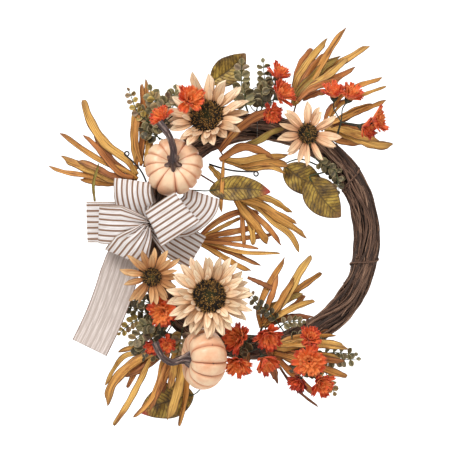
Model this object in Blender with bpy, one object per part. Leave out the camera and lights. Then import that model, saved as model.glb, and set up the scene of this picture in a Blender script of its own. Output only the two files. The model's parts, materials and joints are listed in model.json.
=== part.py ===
"""Harvest door wreath: a grapevine ring dressed with pumpkins, sunflowers, daisies, leaves and a bow.

Places are in millimetres from the ring's centre: x to the right, z up, and d forward from the door.
The row's origin is where a door hook carries the hanging loop, so an empty holds the ring's centre.
"""

import math
from itertools import permutations

import bmesh
import bpy
from mathutils import Matrix, Vector

MM = 0.001
GAP = 0.5  # clearance between neighbouring pieces

RING_RADIUS = 170.0  # to the middle of the vine bundle
SECTION_RADIUS = 19.3  # of the vine bundle
SECTION_DEPTH = 19.0  # from the door to the bundle's middle
STRAND_RADIUS = 6.3
STRAND_ORBIT = SECTION_RADIUS - STRAND_RADIUS
CORE_RADIUS = STRAND_ORBIT - STRAND_RADIUS - GAP
CORE_BACK_HALF = 8.0  # half width of the core's flat back
RING_STEPS = 44

WIRE_RADIUS = 0.8
BAND_ORBIT = SECTION_RADIUS + WIRE_RADIUS + GAP
NOTCH_DEPTH = 3.2
EYE_RADIUS = 3.8
EYE_DEPTH = 7.0
EYE_HEIGHT = RING_RADIUS + BAND_ORBIT + EYE_RADIUS + 0.5
LOOP_HALF_WIDTH = 12.0
LOOP_HALF_HEIGHT = 19.0
LOOP_LEAN = math.radians(6.0)
HOOK_REACH = 2 * LOOP_HALF_HEIGHT - WIRE_RADIUS  # from the eye to the hook's contact
HOOK_HEIGHT = EYE_HEIGHT + HOOK_REACH * math.cos(LOOP_LEAN)
HOOK_DEPTH = EYE_DEPTH + HOOK_REACH * math.sin(LOOP_LEAN)

RIBBON_WIDTH = 60.0
RIBBON_THICK = 1.2
KNOT = (-165.0, 22.0)  # x, z of the bow's tie
KNOT_RADIUS = 6.0
BLADE_THICK = 0.9
STRAP_PROFILE = (0.22, 0.65, 1.0, 0.9, 0.3)  # share of a strap leaf's width, stem to tip
ROUND_PROFILE = (0.3, 1.0, 0.4)
LEAF_THICK = 1.0
STEM_HALF = 1.2  # half the side of a square wire stem

TAIL_HINGE = (-205.0, -34.0, 47.0)  # x, z, d of the line the tail bends on
TAIL_LENGTH = 145.0
TAIL_SLANT = math.radians(21.0)  # of the hanging tail from plumb

MATERIALS = {  # linear base colour, roughness, metallic
    "vine": ((0.075, 0.043, 0.028), 0.85, 0.0),
    "wire": ((0.05, 0.045, 0.04), 0.4, 0.8),
    "ribbon": ((0.62, 0.56, 0.51), 0.9, 0.0),
    "cream_petal": ((0.78, 0.56, 0.36), 0.75, 0.0),
    "peach_petal": ((0.72, 0.42, 0.23), 0.75, 0.0),
    "seed_disc": ((0.05, 0.035, 0.015), 0.95, 0.0),
    "green_plastic": ((0.05, 0.075, 0.02), 0.55, 0.0),
    "pumpkin": ((0.72, 0.4, 0.22), 0.45, 0.0),
    "pumpkin_stem": ((0.07, 0.035, 0.03), 0.5, 0.0),
    "magnolia_leaf": ((0.14, 0.12, 0.02), 0.5, 0.0),
    "husk_leaf": ((0.45, 0.22, 0.05), 0.7, 0.0),
    "eucalyptus": ((0.1, 0.11, 0.05), 0.7, 0.0),
    "daisy": ((0.75, 0.12, 0.025), 0.7, 0.0),
}


def clear_scene():
    for obj in list(bpy.data.objects):
        bpy.data.objects.remove(obj, do_unlink=True)


def material(name):
    found = bpy.data.materials.get(name)
    if found:
        return found
    colour, roughness, metallic = MATERIALS[name]
    made = bpy.data.materials.new(name)
    made.use_nodes = True
    shader = made.node_tree.nodes["Principled BSDF"]
    shader.inputs["Base Color"].default_value = (*colour, 1.0)
    shader.inputs["Roughness"].default_value = roughness
    shader.inputs["Metallic"].default_value = metallic
    made.diffuse_color = (*colour, 1.0)
    return made


def at(x, z, d):
    """A point in metres from the ring's centre: x right, z up and d forward, in millimetres."""
    return Vector((x, -d, z)) * MM


def add_object(name, bm, slot, parent, origin=None):
    """One named object from bm, with its normals out; origin is where the object's own origin goes."""
    bmesh.ops.recalc_face_normals(bm, faces=bm.faces)
    if bm.calc_volume(signed=True) < 0:
        bmesh.ops.reverse_faces(bm, faces=bm.faces)
    if origin is not None:
        bmesh.ops.translate(bm, verts=bm.verts, vec=-origin)
    mesh = bpy.data.meshes.new(name)
    bm.to_mesh(mesh)
    bm.free()
    mesh.shade_smooth()
    mesh.set_sharp_from_angle(angle=math.radians(40))
    obj = bpy.data.objects.new(name, mesh)
    obj.data.materials.append(material(slot))
    bpy.context.scene.collection.objects.link(obj)
    obj.parent = parent
    if origin is not None:
        obj.location = origin
    return obj


# Shells grown loop by loop.

def add_loop(bm, points):
    return [bm.verts.new(p) for p in points]


def bridge(bm, first, second):
    """Quads between two loops of the same length."""
    count = len(first)
    for i in range(count):
        j = (i + 1) % count
        bm.faces.new((first[i], first[j], second[j], second[i]))


def matched(first, second):
    """The points of second turned and ordered so that each is nearest its partner in first."""
    count = len(second)
    orders = []
    for turned in (second, second[::-1]):
        orders += [turned[k:] + turned[:k] for k in range(count)]
    return min(
        orders,
        key=lambda order: sum((v.co - p).length_squared for v, p in zip(first, order)),
    )


def grow(bm, first, sections):
    """Carries the loop first through the sections and returns the last loop, still open."""
    loop = first
    for points in sections:
        following = add_loop(bm, matched(loop, points))
        bridge(bm, loop, following)
        loop = following
    return loop


def doubled(bm, loop, points):
    """Joins a loop of n vertices to a loop of 2n points and returns the new loop."""
    count = len(points)
    turns = [points[k:] + points[:k] for k in range(count)]
    turns += [t[::-1] for t in turns]
    best = min(
        turns,
        key=lambda t: sum((v.co - p).length_squared for v, p in zip(loop, t[::2])),
    )
    outer = add_loop(bm, best)
    for i, vert in enumerate(loop):
        following = loop[(i + 1) % len(loop)]
        a, middle, b = outer[2 * i], outer[2 * i + 1], outer[(2 * i + 2) % count]
        bm.faces.new((vert, middle, a))
        bm.faces.new((vert, following, middle))
        bm.faces.new((following, b, middle))
    return outer


def flat_section(centre, along, facing, width, thick):
    """Four corners of a strip's cross-section, whose broad side looks along facing."""
    across = along.cross(facing).normalized()
    normal = across.cross(along).normalized()
    half, back = across * width / 2, normal * thick / 2
    return [centre + half + back, centre - half + back, centre - half - back, centre + half - back]


def round_section(centre, along, radius, sides, up=Vector((0.0, 0.0, 1.0))):
    """A regular polygon square to along."""
    side = along.cross(up)
    if side.length < 1e-6:
        side = along.cross(Vector((1.0, 0.0, 0.0)))
    side.normalize()
    other = along.cross(side).normalized()
    turn = 2 * math.pi / sides
    return [
        centre + radius * (math.cos(k * turn) * side + math.sin(k * turn) * other)
        for k in range(sides)
    ]


def curve_through(start, middle, end, steps):
    """Points of the parabola from start to end that passes middle half way, start left out."""
    control = 2 * middle - (start + end) / 2
    points = []
    for i in range(1, steps + 1):
        t = i / steps
        points.append((1 - t) ** 2 * start + 2 * t * (1 - t) * control + t * t * end)
    return points


def tangents(points):
    last = len(points) - 1
    return [
        (points[min(i + 1, last)] - points[max(i - 1, 0)]).normalized()
        for i in range(last + 1)
    ]


def tube_bm(points, radii, sides):
    """A closed tube along points with a radius at each."""
    bm = bmesh.new()
    directions = tangents(points)
    loop = add_loop(bm, round_section(points[0], directions[0], radii[0], sides))
    bm.faces.new(loop)
    sections = [
        round_section(p, t, r, sides)
        for p, t, r in zip(points[1:], directions[1:], radii[1:])
    ]
    bm.faces.new(grow(bm, loop, sections))
    return bm


def ring_bm(section_at, angles):
    """A closed ring of loops: section_at gives the points at an angle round the wreath."""
    bm = bmesh.new()
    loops = [add_loop(bm, section_at(angle)) for angle in angles]
    for first, second in zip(loops, loops[1:] + loops[:1]):
        bridge(bm, first, second)
    return bm


# The grapevine ring and its hanger.

def on_ring(angle, lateral, d):
    """A point of the ring's cross-section: lateral outward from the bundle's middle."""
    radius = RING_RADIUS + lateral
    return at(radius * math.cos(angle), radius * math.sin(angle), d)


def core_section(angle):
    """Round in front and flat at the door, with a notch at the top for the hanger's wire."""
    in_notch = abs(math.degrees(angle) - 90) < 1.4
    back = NOTCH_DEPTH if in_notch else 0.0
    points = []
    for k in range(7):
        turn = math.radians(-90 + 30 * k)
        points.append((CORE_RADIUS * math.sin(turn), SECTION_DEPTH + CORE_RADIUS * math.cos(turn)))
    points += [(CORE_BACK_HALF, back), (-CORE_BACK_HALF, back)]
    return [on_ring(angle, lateral, d) for lateral, d in points]


def strand_section(start_turn):
    """Cross-sections of one outer vine, which drifts slowly round the bundle's front."""

    def section(angle):
        turn = start_turn + math.radians(12) * math.sin(2 * angle + 1.0)
        points = []
        for k in range(6):
            corner = math.radians(60 * k)
            lateral = STRAND_ORBIT * math.sin(turn) + STRAND_RADIUS * math.cos(corner)
            depth = SECTION_DEPTH + STRAND_ORBIT * math.cos(turn) + STRAND_RADIUS * math.sin(corner)
            points.append(on_ring(angle, lateral, depth))
        return points

    return section


def make_ring(parent):
    even = [2 * math.pi * k / RING_STEPS for k in range(RING_STEPS)]
    notch = [math.radians(a) for a in (88.3, 88.7, 91.3, 91.7)]
    quarter = math.pi / 2
    core_angles = sorted([a for a in even if abs(a - quarter) > math.radians(2)] + notch)
    add_object("core_vines", ring_bm(core_section, core_angles), "vine", parent)
    for number, turn in enumerate((-60, 0, 60), 1):
        section = strand_section(math.radians(turn))
        add_object(f"outer_vine_{number}", ring_bm(section, even), "vine", parent)


def make_hanger(parent):
    """A wire band twisted round the bundle, with an eye, and the loop that swings in the eye."""
    corners = [
        (BAND_ORBIT, 6.0), (14.0, 1.4), (-14.0, 1.4), (-BAND_ORBIT, 8.0),
    ]
    path = []
    for k in range(13):
        turn = math.radians(-90 + 15 * k)
        path.append((BAND_ORBIT * math.sin(turn), SECTION_DEPTH + BAND_ORBIT * math.cos(turn)))
    path += corners
    points = [on_ring(math.pi / 2, lateral, d) for lateral, d in path]
    bm = bmesh.new()
    loops = []
    for i, p in enumerate(points):
        along = (points[(i + 1) % len(points)] - points[i - 1]).normalized()
        loops.append(add_loop(bm, round_section(p, along, WIRE_RADIUS * MM, 6, Vector((1, 0, 0)))))
    for first, second in zip(loops, loops[1:] + loops[:1]):
        bridge(bm, first, second)
    band = add_object("hanger_band", bm, "wire", parent)

    eye_centre = at(0, EYE_HEIGHT, EYE_DEPTH)
    eye = add_object("eye_part", wire_loop_bm(EYE_RADIUS, EYE_RADIUS, 12, 0.0), "wire", parent)
    eye.matrix_local = Matrix.Translation(eye_centre) @ Matrix.Rotation(math.pi / 2, 4, "Z")
    union = band.modifiers.new("eye", "BOOLEAN")
    union.operation = "UNION"
    union.solver = "EXACT"
    union.object = eye
    eye.hide_render = True
    eye.display_type = "WIRE"

    loop_bm = wire_loop_bm(LOOP_HALF_WIDTH, LOOP_HALF_HEIGHT, 24, LOOP_HALF_HEIGHT)
    loop = add_object("hanging_loop", loop_bm, "wire", parent)
    loop.location = eye_centre
    loop.rotation_euler = (LOOP_LEAN, 0.0, 0.0)


def wire_loop_bm(half_width, half_height, steps, rise):
    """An elliptical ring of wire in the XZ plane, its centre raised by rise."""
    bm = bmesh.new()
    loops = []
    for k in range(steps):
        turn = 2 * math.pi * k / steps
        centre = Vector((half_width * math.cos(turn), 0, rise + half_height * math.sin(turn))) * MM
        along = Vector((-half_width * math.sin(turn), 0, half_height * math.cos(turn))).normalized()
        loops.append(add_loop(bm, round_section(centre, along, WIRE_RADIUS * MM, 6, Vector((0, 1, 0)))))
    for first, second in zip(loops, loops[1:] + loops[:1]):
        bridge(bm, first, second)
    return bm


# Leaves and sprays.

def strip(bm, first, path, facing, width, thick, profile):
    """Carries a quad into a flat blade along path; profile gives the share of width at each point."""
    directions = tangents(path)
    sections = [
        flat_section(p, t, facing, width * share * MM, thick * MM)
        for p, t, share in zip(path, directions, profile)
    ]
    bm.faces.new(grow(bm, first, sections))


def fan(stem, leaves):
    """Leaves (middle, tip, width) sorted for make_spray: widest-spread first, straightest last."""
    (x0, z0, _), (x1, z1, _) = stem
    heading = math.atan2(z1 - z0, x1 - x0)

    def turn(leaf):
        """How far the leaf's tip turns from the stem's run, positive to the left."""
        x, z, _ = leaf[1]
        return (math.atan2(z - z1, x - x1) - heading + math.pi) % (2 * math.pi) - math.pi

    ordered = sorted(leaves, key=lambda leaf: -abs(turn(leaf)))
    return [(-1 if turn(leaf) > 0 else 1, *leaf) for leaf in ordered]


def make_spray(name, slot, parent, stem, blades, thick, profile):
    """A wire stem with a leaf out of each side of each step, and the last leaf out of its end.

    stem is its two ends. A leaf is (side, middle, tip, width), with side 1 to the right of the
    stem's run and -1 to the left, and profile is the share of its width at equal steps to its tip.
    """
    root, end = at(*stem[0]), at(*stem[1])
    along = (end - root).normalized()
    facing = Vector((0, -1, 0))
    across = along.cross(facing).normalized()
    sides = {1: [], -1: []}
    for blade in blades[:-1]:
        sides[blade[0]].append(blade)
    steps_of_stem = max(len(sides[1]), len(sides[-1]), 1)
    bare = 0.25 if (end - root).length > 25 * MM else 0.1
    stations = [0.0] + [bare + (1 - bare) * k / steps_of_stem for k in range(steps_of_stem + 1)]
    half = STEM_HALF * MM
    depth = along.cross(across).normalized()
    bm = bmesh.new()
    loops = []
    for station in stations:
        centre = root.lerp(end, station)
        corners = [(1, 1), (-1, 1), (-1, -1), (1, -1)]
        loops.append(add_loop(bm, [centre + half * (a * across + b * depth) for a, b in corners]))
    bm.faces.new(loops[0])
    # Side 3 of the square looks along +across, and side 1 along -across.
    for step, (first, second) in enumerate(zip(loops, loops[1:])):
        for k in range(4):
            j = (k + 1) % 4
            quad = [first[k], first[j], second[j], second[k]]
            side = {3: 1, 1: -1}.get(k)
            waiting = sides.get(side, [])
            if step > 0 and step - 1 < len(waiting):
                _, middle, tip, width = waiting[step - 1]
                grow_leaf(bm, quad, side * across, middle, tip, width, thick, profile)
            else:
                bm.faces.new(quad)
    _, middle, tip, width = blades[-1]
    grow_leaf(bm, loops[-1], along, middle, tip, width, thick, profile)
    return add_object(name, bm, slot, parent)


def grow_leaf(bm, quad, outward, middle, tip, width, thick, profile):
    """A leaf out of one quad of a stem, curved through middle to tip."""
    start = sum((v.co for v in quad), Vector()) / 4
    path = curve_through(start + outward * 2.2 * MM, at(*middle), at(*tip), len(profile))
    strip(bm, quad, path, Vector((0, -1, 0)), width, thick, profile)


def make_magnolia_leaf(name, parent, petiole, tip, width, facing):
    """A broad oval leaf on a wire: petiole is the wire's points, the last being the leaf's base."""
    points = [at(*p) for p in petiole]
    base, end = points[-1], at(*tip)
    bm = bmesh.new()
    half = 2 * STEM_HALF * MM
    directions = tangents(points)
    front = Vector(facing).normalized()
    loop = add_loop(bm, flat_section(points[0], directions[0], front, half, half))
    bm.faces.new(loop)
    wire = [flat_section(p, t, front, half, half) for p, t in zip(points[1:], directions[1:])]
    loop = grow(bm, loop, wire)
    along = (end - base).normalized()
    lift = front * width * 0.08 * MM  # the blade arches a little towards its front
    path, profile = [], []
    for share in (0.08, 0.22, 0.42, 0.62, 0.8, 0.93, 1.0):
        path.append(base.lerp(end, share) + lift * math.sin(math.pi * share))
        profile.append(max(0.12, math.sin(math.pi * share ** 0.85)))
    sections = [
        flat_section(p, along, front, width * s * MM, LEAF_THICK * MM)
        for p, s in zip(path, profile)
    ]
    bm.faces.new(grow(bm, loop, sections))
    add_object(name, bm, "magnolia_leaf", parent)


# Sunflowers, daisies and pumpkins.

def head_frame(centre, facing):
    """Local axes of a flower: its own +Z is the way it looks."""
    front = Vector(facing).normalized()
    return Matrix.Translation(centre) @ front.to_track_quat("Z", "Y").to_matrix().to_4x4()


def petal_plate_bm(disc_radius, reach, petals, cup):
    """One sheet of petals: flat under the disc, then cupped forward to the tips."""
    bm = bmesh.new()
    thick = 1.4
    shares = (1.0, 0.62, 0.28, 0.62)  # tip, shoulder, valley, shoulder
    count = petals * len(shares)

    def surface(offset):
        hub = bm.verts.new(Vector((0, 0, offset)) * MM)
        inner, outer = [], []
        for k in range(count):
            turn = 2 * math.pi * k / count
            share = shares[k % len(shares)]
            for ring, radius in ((inner, disc_radius), (outer, disc_radius + (reach - disc_radius) * share)):
                out = radius - disc_radius
                at_plate = Vector((
                    (disc_radius + out * math.cos(cup)) * math.cos(turn),
                    (disc_radius + out * math.cos(cup)) * math.sin(turn),
                    offset + out * math.sin(cup),
                ))
                ring.append(bm.verts.new(at_plate * MM))
        for k in range(count):
            j = (k + 1) % count
            bm.faces.new((hub, inner[k], inner[j]))
        bridge(bm, inner, outer)
        return outer

    bridge(bm, surface(0.0), surface(-thick))
    return bm


def dome_bm(radius, height, lift, sides):
    """A low dome with a flat underside at lift."""
    bm = bmesh.new()
    loop = None
    for share in (0.0, 0.4, 0.75):
        ring_radius = radius * math.cos(share * math.pi / 2 * 0.95)
        ring = [
            Vector((
                ring_radius * math.cos(2 * math.pi * k / sides),
                ring_radius * math.sin(2 * math.pi * k / sides),
                lift + height * math.sin(share * math.pi / 2),
            )) * MM
            for k in range(sides)
        ]
        following = add_loop(bm, ring)
        if loop is None:
            bm.faces.new(following)
        else:
            bridge(bm, loop, following)
        loop = following
    top = bm.verts.new(Vector((0, 0, lift + height)) * MM)
    for k in range(sides):
        bm.faces.new((loop[k], loop[(k + 1) % sides], top))
    return bm


def make_sunflower(name, parent, slot, centre, facing, disc, reach, petals, cup, stem):
    """Petal sheet, seed disc, and the green calyx whose wire stem runs to the vines."""
    frame = head_frame(at(*centre), facing)
    plate = add_object(f"{name}_petals", petal_plate_bm(disc, reach, petals, math.radians(cup)), slot, parent)
    plate.matrix_local = frame
    seeds = add_object(f"{name}_disc", dome_bm(disc - 1.5, disc * 0.38, GAP, 14), "seed_disc", parent)
    seeds.matrix_local = frame

    look = frame.to_3x3() @ Vector((0, 0, 1))
    back = frame.translation - look * (1.4 + GAP) * MM
    neck = back - look * disc * 0.55 * MM
    route = [at(*p) for p in stem]
    points = [back, back - look * 3 * MM, neck] + route
    radii = [disc * 0.72, disc * 0.66, 3.2] + [2.0] * len(route)
    radii = [r * MM for r in radii]
    add_object(f"{name}_calyx", tube_bm(points, radii, 8), "green_plastic", parent)


def make_daisy_spray(name, parent, root, fork, heads):
    """A stem from root to fork, where a wire leaves for each head: (x, z, d), facing, radius."""
    start, end = at(*root), at(*fork)
    along = (end - start).normalized()
    bm = bmesh.new()
    sides = 4 if len(heads) <= 4 else 6
    loop = add_loop(bm, round_section(start, along, 1.8 * MM, sides))
    bm.faces.new(loop)
    rise = (end - start) * 0.5
    loop = grow(bm, loop, [round_section(start + rise, along, 1.8 * MM, sides)])
    knob = grow(bm, loop, [round_section(end - along * 4 * MM, along, 2.6 * MM, sides)])
    tip = add_loop(bm, matched(knob, round_section(end, along, 2.6 * MM, sides)))
    free = []
    for k in range(sides):
        j = (k + 1) % sides
        free.append([knob[k], knob[j], tip[j], tip[k]])
    free.append(tip)
    places = [at(*centre) for centre, _, _ in heads]

    def stretch(quads):
        """Total length of the straight wires from the quads to the heads."""
        middles = [sum((v.co for v in quad), Vector()) / len(quad) for quad in quads]
        return sum((m - p).length for m, p in zip(middles, places))

    chosen = min(permutations(free, len(heads)), key=stretch)
    for quad, place, (_, facing, radius) in zip(chosen, places, heads):
        free.remove(quad)
        grow_daisy(bm, quad, place, Vector(facing).normalized(), radius)
    for quad in free:
        bm.faces.new(quad)
    return add_object(name, bm, "daisy", parent)


def grow_daisy(bm, quad, centre, look, radius):
    """A wire and a flared cup of petals out of one quad."""
    start = sum((v.co for v in quad), Vector()) / 4
    behind = centre - look * radius * 0.9 * MM
    path = curve_through(start, (start + behind) / 2, behind, 4)
    directions = tangents([start] + path)[1:]
    sections = [round_section(p, t, 1.0 * MM, 4) for p, t in zip(path[:-1], directions)]
    loop = grow(bm, quad, sections)
    collar = round_section(behind, look, radius * 0.16 * MM, 4)
    loop = grow(bm, loop, [collar])
    loop = doubled(bm, loop, round_section(centre - look * radius * 0.5 * MM, look, radius * 0.42 * MM, 8))
    rim = round_section(centre + look * radius * 0.12 * MM, look, radius * MM, 8)
    loop = grow(bm, loop, [rim])
    inner = [centre + (p - centre) * 0.55 - look * radius * 0.06 * MM for p in rim]
    bm.faces.new(grow(bm, loop, [inner]))


def pumpkin_bm(radius, half_height, ribs):
    """A ribbed, flattened ball with a dimple round its +Z pole."""
    bm = bmesh.new()
    around, bands = ribs * 4, 7

    def vertex(k, band):
        latitude = math.pi * (band / bands - 0.5)
        turn = 2 * math.pi * k / around
        groove = 1 - 0.075 * (1 - abs(math.sin(ribs * turn / 2))) ** 2 * math.cos(latitude)
        dimple = 0.2 * math.exp(-((math.pi / 2 - latitude) / 0.42) ** 2)
        flat = radius * math.cos(latitude) * groove
        height = half_height * (math.sin(latitude) - dimple)
        return Vector((flat * math.cos(turn), flat * math.sin(turn), height)) * MM

    loops = [add_loop(bm, [vertex(k, band) for k in range(around)]) for band in range(1, bands)]
    for first, second in zip(loops, loops[1:]):
        bridge(bm, first, second)
    for pole, loop in ((vertex(0, 0), loops[0]), (vertex(0, bands), loops[-1])):
        point = bm.verts.new(Vector((0, 0, pole.z)))
        for k in range(around):
            bm.faces.new((loop[k], loop[(k + 1) % around], point))
    return bm


def make_pumpkin(name, parent, centre, axis, radius, half_height, stem_path):
    """Body and woody stem; stem_path is the stem's points past its foot."""
    frame = head_frame(at(*centre), axis)
    body = add_object(f"{name}_body", pumpkin_bm(radius, half_height, 10), "pumpkin", parent)
    body.matrix_local = frame
    look = frame.to_3x3() @ Vector((0, 0, 1))
    foot = frame.translation + look * (half_height * 0.84 + 1.2) * MM
    points = [foot, foot + look * 2.5 * MM, foot + look * 7 * MM] + [at(*p) for p in stem_path]
    radii = [8.0, 7.0, 4.6] + [4.2 - 0.5 * k / len(stem_path) for k in range(len(stem_path))]
    radii[-1] = 4.6
    add_object(f"{name}_stem", tube_bm(points, [r * MM for r in radii], 7), "pumpkin_stem", parent)


# The bow.

def make_bow_loop(name, parent, centre, out, across, length, height, width=RIBBON_WIDTH, pinch=12.0):
    """One loop of ribbon: out of the knot, round the end and back, pinched where it is tied."""
    out, across = Vector(out).normalized(), Vector(across).normalized()
    across = (across - out * across.dot(out)).normalized()
    front = across.cross(out).normalized()
    if front.y > 0:
        front = -front
    root = at(*centre) + out * (KNOT_RADIUS + 2.5) * MM
    steps = 11
    bm = bmesh.new()
    path, widths = [], []
    for k in range(steps + 1):
        t = math.pi * k / steps
        share = math.sin(t)
        u = length * share
        v = height * math.cos(t) * share ** 0.6 + 1.6 * math.cos(t)
        path.append(root + (out * u + front * v) * MM)
        widths.append(pinch + (width - pinch) * min(1.0, 1.7 * share) ** 0.9)
    directions = tangents(path)
    loops = []
    for point, along, wide in zip(path, directions, widths):
        normal = across.cross(along).normalized()
        half, back = across * wide / 2 * MM, normal * RIBBON_THICK / 2 * MM
        corners = [point + half + back, point - half + back, point - half - back, point + half - back]
        loops.append(add_loop(bm, corners))
    bm.faces.new(loops[0])
    for first, second in zip(loops, loops[1:]):
        bridge(bm, first, second)
    bm.faces.new(loops[-1])
    add_object(name, bm, "ribbon", parent)


def ribbon_bm(points, widths, across):
    """A flat strip of ribbon along points, every crosswise edge parallel to across."""
    bm = bmesh.new()
    loops = []
    for point, along, wide in zip(points, tangents(points), widths):
        normal = across.cross(along).normalized()
        half, back = across * wide / 2 * MM, normal * RIBBON_THICK / 2 * MM
        corners = [point + half + back, point - half + back, point - half - back, point + half - back]
        loops.append(add_loop(bm, corners))
    bm.faces.new(loops[0])
    for first, second in zip(loops, loops[1:]):
        bridge(bm, first, second)
    bm.faces.new(loops[-1])
    return bm


def make_bow(parent):
    x, z = KNOT
    tie = tube_bm([at(x, z, 46), at(x, z, 94)], [KNOT_RADIUS * MM] * 2, 10)
    add_object("bow_tie_wire", tie, "wire", parent)
    make_bow_loop("bow_loop_top_left", parent, (x, z, 68), (-0.46, 0, 0.89), (0.89, 0.1, 0.46), 64, 12, 48)
    make_bow_loop("bow_loop_left", parent, (x, z, 84), (-1, 0, -0.05), (0, 0, 1), 66, 11, 56)
    make_bow_loop("bow_loop_left_back", parent, (x, z, 57), (-1, 0.02, 0), (0, 0, 1), 86, 4, 56)
    make_bow_loop("bow_loop_lower_left", parent, (x, z, 67), (-0.5, 0, -0.86), (0.86, 0, -0.5), 52, 7, 46)
    make_bow_loop("bow_loop_front", parent, (x, z, 90), (0.8, -0.25, 0.2), (0.33, 0, -0.94), 66, 12, 56)
    make_bow_loop("bow_loop_right", parent, (x, z, 62), (0.95, 0, 0.3), (-0.3, 0, 0.95), 92, 7, 46)
    make_bow_loop("bow_loop_lower_right", parent, (x, z, 50), (0.82, 0, -0.57), (0.57, 0, 0.82), 92, 5, 52)


def make_tail(parent):
    """The ribbon's free end: a stub held by the tie, and the part that swings from its hinge line."""
    x, z = KNOT
    hinge = at(*TAIL_HINGE)
    down = Vector((-math.sin(TAIL_SLANT), 0, -math.cos(TAIL_SLANT)))
    across = Vector((math.cos(TAIL_SLANT), 0, -math.sin(TAIL_SLANT)))
    root = [at(x - 9, z - 11, 46), at(-188, -10, 46.5), hinge - down * 0.7 * MM]
    add_object("bow_tail_root", ribbon_bm(root, [13, 34, 52], across), "ribbon", parent)
    lengths = (0.7, 40, 80, 115, TAIL_LENGTH)
    widths = (52, 56, 57, 57, 54)
    bm = ribbon_bm([hinge + down * run * MM for run in lengths], widths, across)
    add_object("bow_tail", bm, "ribbon", parent, origin=hinge)


def make_husk_sprays(parent):
    """Long strap leaves, in sprays wired into the vines; each leaf is middle, tip, width."""
    sprays = {
        "left": (((-174, 80, 19), (-206, 96, 24)), [
            ((-232, 150, 26), (-269, 212, 20), 12),
            ((-226, 130, 34), (-263, 157, 38), 9),
            ((-262, 97, 12), (-322, 109, 10), 9),
            ((-250, 100, 22), (-299, 122, 18), 13),
            ((-250, 124, 30), (-303, 160, 30), 9),
        ]),
        "upper_left": (((-164, 100, 15), (-180, 122, 17)), [
            ((-195, 160, 16), (-184, 205, 14), 9),
            ((-168, 150, 12), (-158, 172, 8), 7),
            ((-186, 170, 22), (-178, 236, 20), 9),
        ]),
        "top_right": (((54, 184, 19), (62, 212, 22)), [
            ((62, 262, 22), (107, 304, 20), 11),
            ((110, 222, 34), (149, 259, 34), 11),
            ((80, 256, 34), (133, 319, 36), 10),
            ((112, 256, 24), (170, 296, 22), 12),
            ((88, 250, 28), (124, 275, 29), 13),
        ]),
        "right": (((99, 164, 22), (116, 180, 25)), [
            ((140, 222, 40), (190, 244, 42), 7),
            ((146, 156, 22), (208, 139, 20), 15),
            ((152, 190, 30), (198, 210, 28), 8),
        ]),
        "ring_top": (((-62, 140, 34), (-52, 124, 45)), [
            ((-46, 100, 44), (-55, 42, 46), 6),
            ((-40, 158, 47), (24, 190, 50), 12),
            ((-14, 108, 42), (47, 102, 38), 12),
            ((-10, 144, 46), (42, 166, 44), 9),
            ((-20, 132, 52), (22, 124, 50), 10),
        ]),
        "centre": (((-103, 106, 22), (-32, 62, 30)), [
            ((-58, 40, 26), (-24, -5, 24), 6),
            ((10, 72, 28), (52, 41, 22), 12),
            ((-22, 30, 34), (15, -8, 34), 13),
            ((22, 40, 33), (73, 4, 30), 12),
            ((18, 24, 26), (64, -20, 24), 8),
        ]),
        "centre_left": (((-149, -8, 19), (-90, -4, 22)), [
            ((-56, 26, 22), (-30, 38, 22), 7),
            ((-40, -24, 16), (3, -43, 14), 7),
            ((-44, 12, 18), (-28, 26, 14), 4),
            ((-30, -16, 24), (35, -25, 24), 5),
            ((-30, -6, 22), (22, 5, 22), 8),
        ]),
        "lower_centre": (((4, -149, 19), (10, -126, 22)), [
            ((6, -84, 22), (43, -33, 20), 8),
            ((46, -116, 26), (88, -98, 28), 8),
            ((40, -82, 28), (84, -32, 28), 12),
            ((34, -110, 18), (73, -90, 14), 8),
            ((48, -84, 19), (99, -55, 18), 10),
        ]),
        "lower_right": (((24, -172, 40), (46, -178, 46)), [
            ((52, -222, 40), (93, -257, 36), 5),
            ((86, -150, 48), (136, -170, 48), 12),
            ((92, -196, 45), (136, -208, 46), 13),
        ]),
        "lower_left": (((-118, -151, 19), (-146, -180, 24)), [
            ((-205, -186, 18), (-233, -229, 14), 8),
            ((-124, -230, 30), (-133, -277, 32), 12),
            ((-200, -202, 28), (-233, -254, 28), 13),
            ((-116, -236, 20), (-120, -292, 18), 8),
            ((-178, -212, 20), (-201, -232, 16), 6),
            ((-150, -232, 34), (-187, -276, 36), 8),
            ((-176, -236, 26), (-222, -290, 24), 9),
        ]),
    }
    for name, (stem, leaves) in sprays.items():
        make_spray(f"husk_spray_{name}", "husk_leaf", parent, stem, fan(stem, leaves),
                   BLADE_THICK, STRAP_PROFILE)


def eucalyptus_leaves(stem, pairs, spread, width, lean=0.5, depth=3.0):
    """Opposite round leaves up a stem, worked out from its two ends, then one at the tip."""
    (x0, z0, d0), (x1, z1, d1) = stem
    run = math.hypot(x1 - x0, z1 - z0)
    ux, uz = (x1 - x0) / run, (z1 - z0) / run
    leaves = []
    for k in range(pairs):
        share = 0.3 + 0.7 * (k + 0.5) / pairs
        x, z, d = x0 + (x1 - x0) * share, z0 + (z1 - z0) * share, d0 + (d1 - d0) * share
        for side in (1, -1):
            ax, az = side * uz, -side * ux
            tip = (x + ax * spread + ux * spread * lean, z + az * spread + uz * spread * lean, d + depth)
            middle = (x + ax * spread * 0.55 + ux * spread * lean * 0.5,
                      z + az * spread * 0.55 + uz * spread * lean * 0.5, d + depth * 0.5)
            leaves.append((side, middle, tip, width))
    leaves.append((1, (x1 + ux * spread * 0.5, z1 + uz * spread * 0.5, d1), (x1 + ux * spread, z1 + uz * spread, d1), width))
    return leaves


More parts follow.
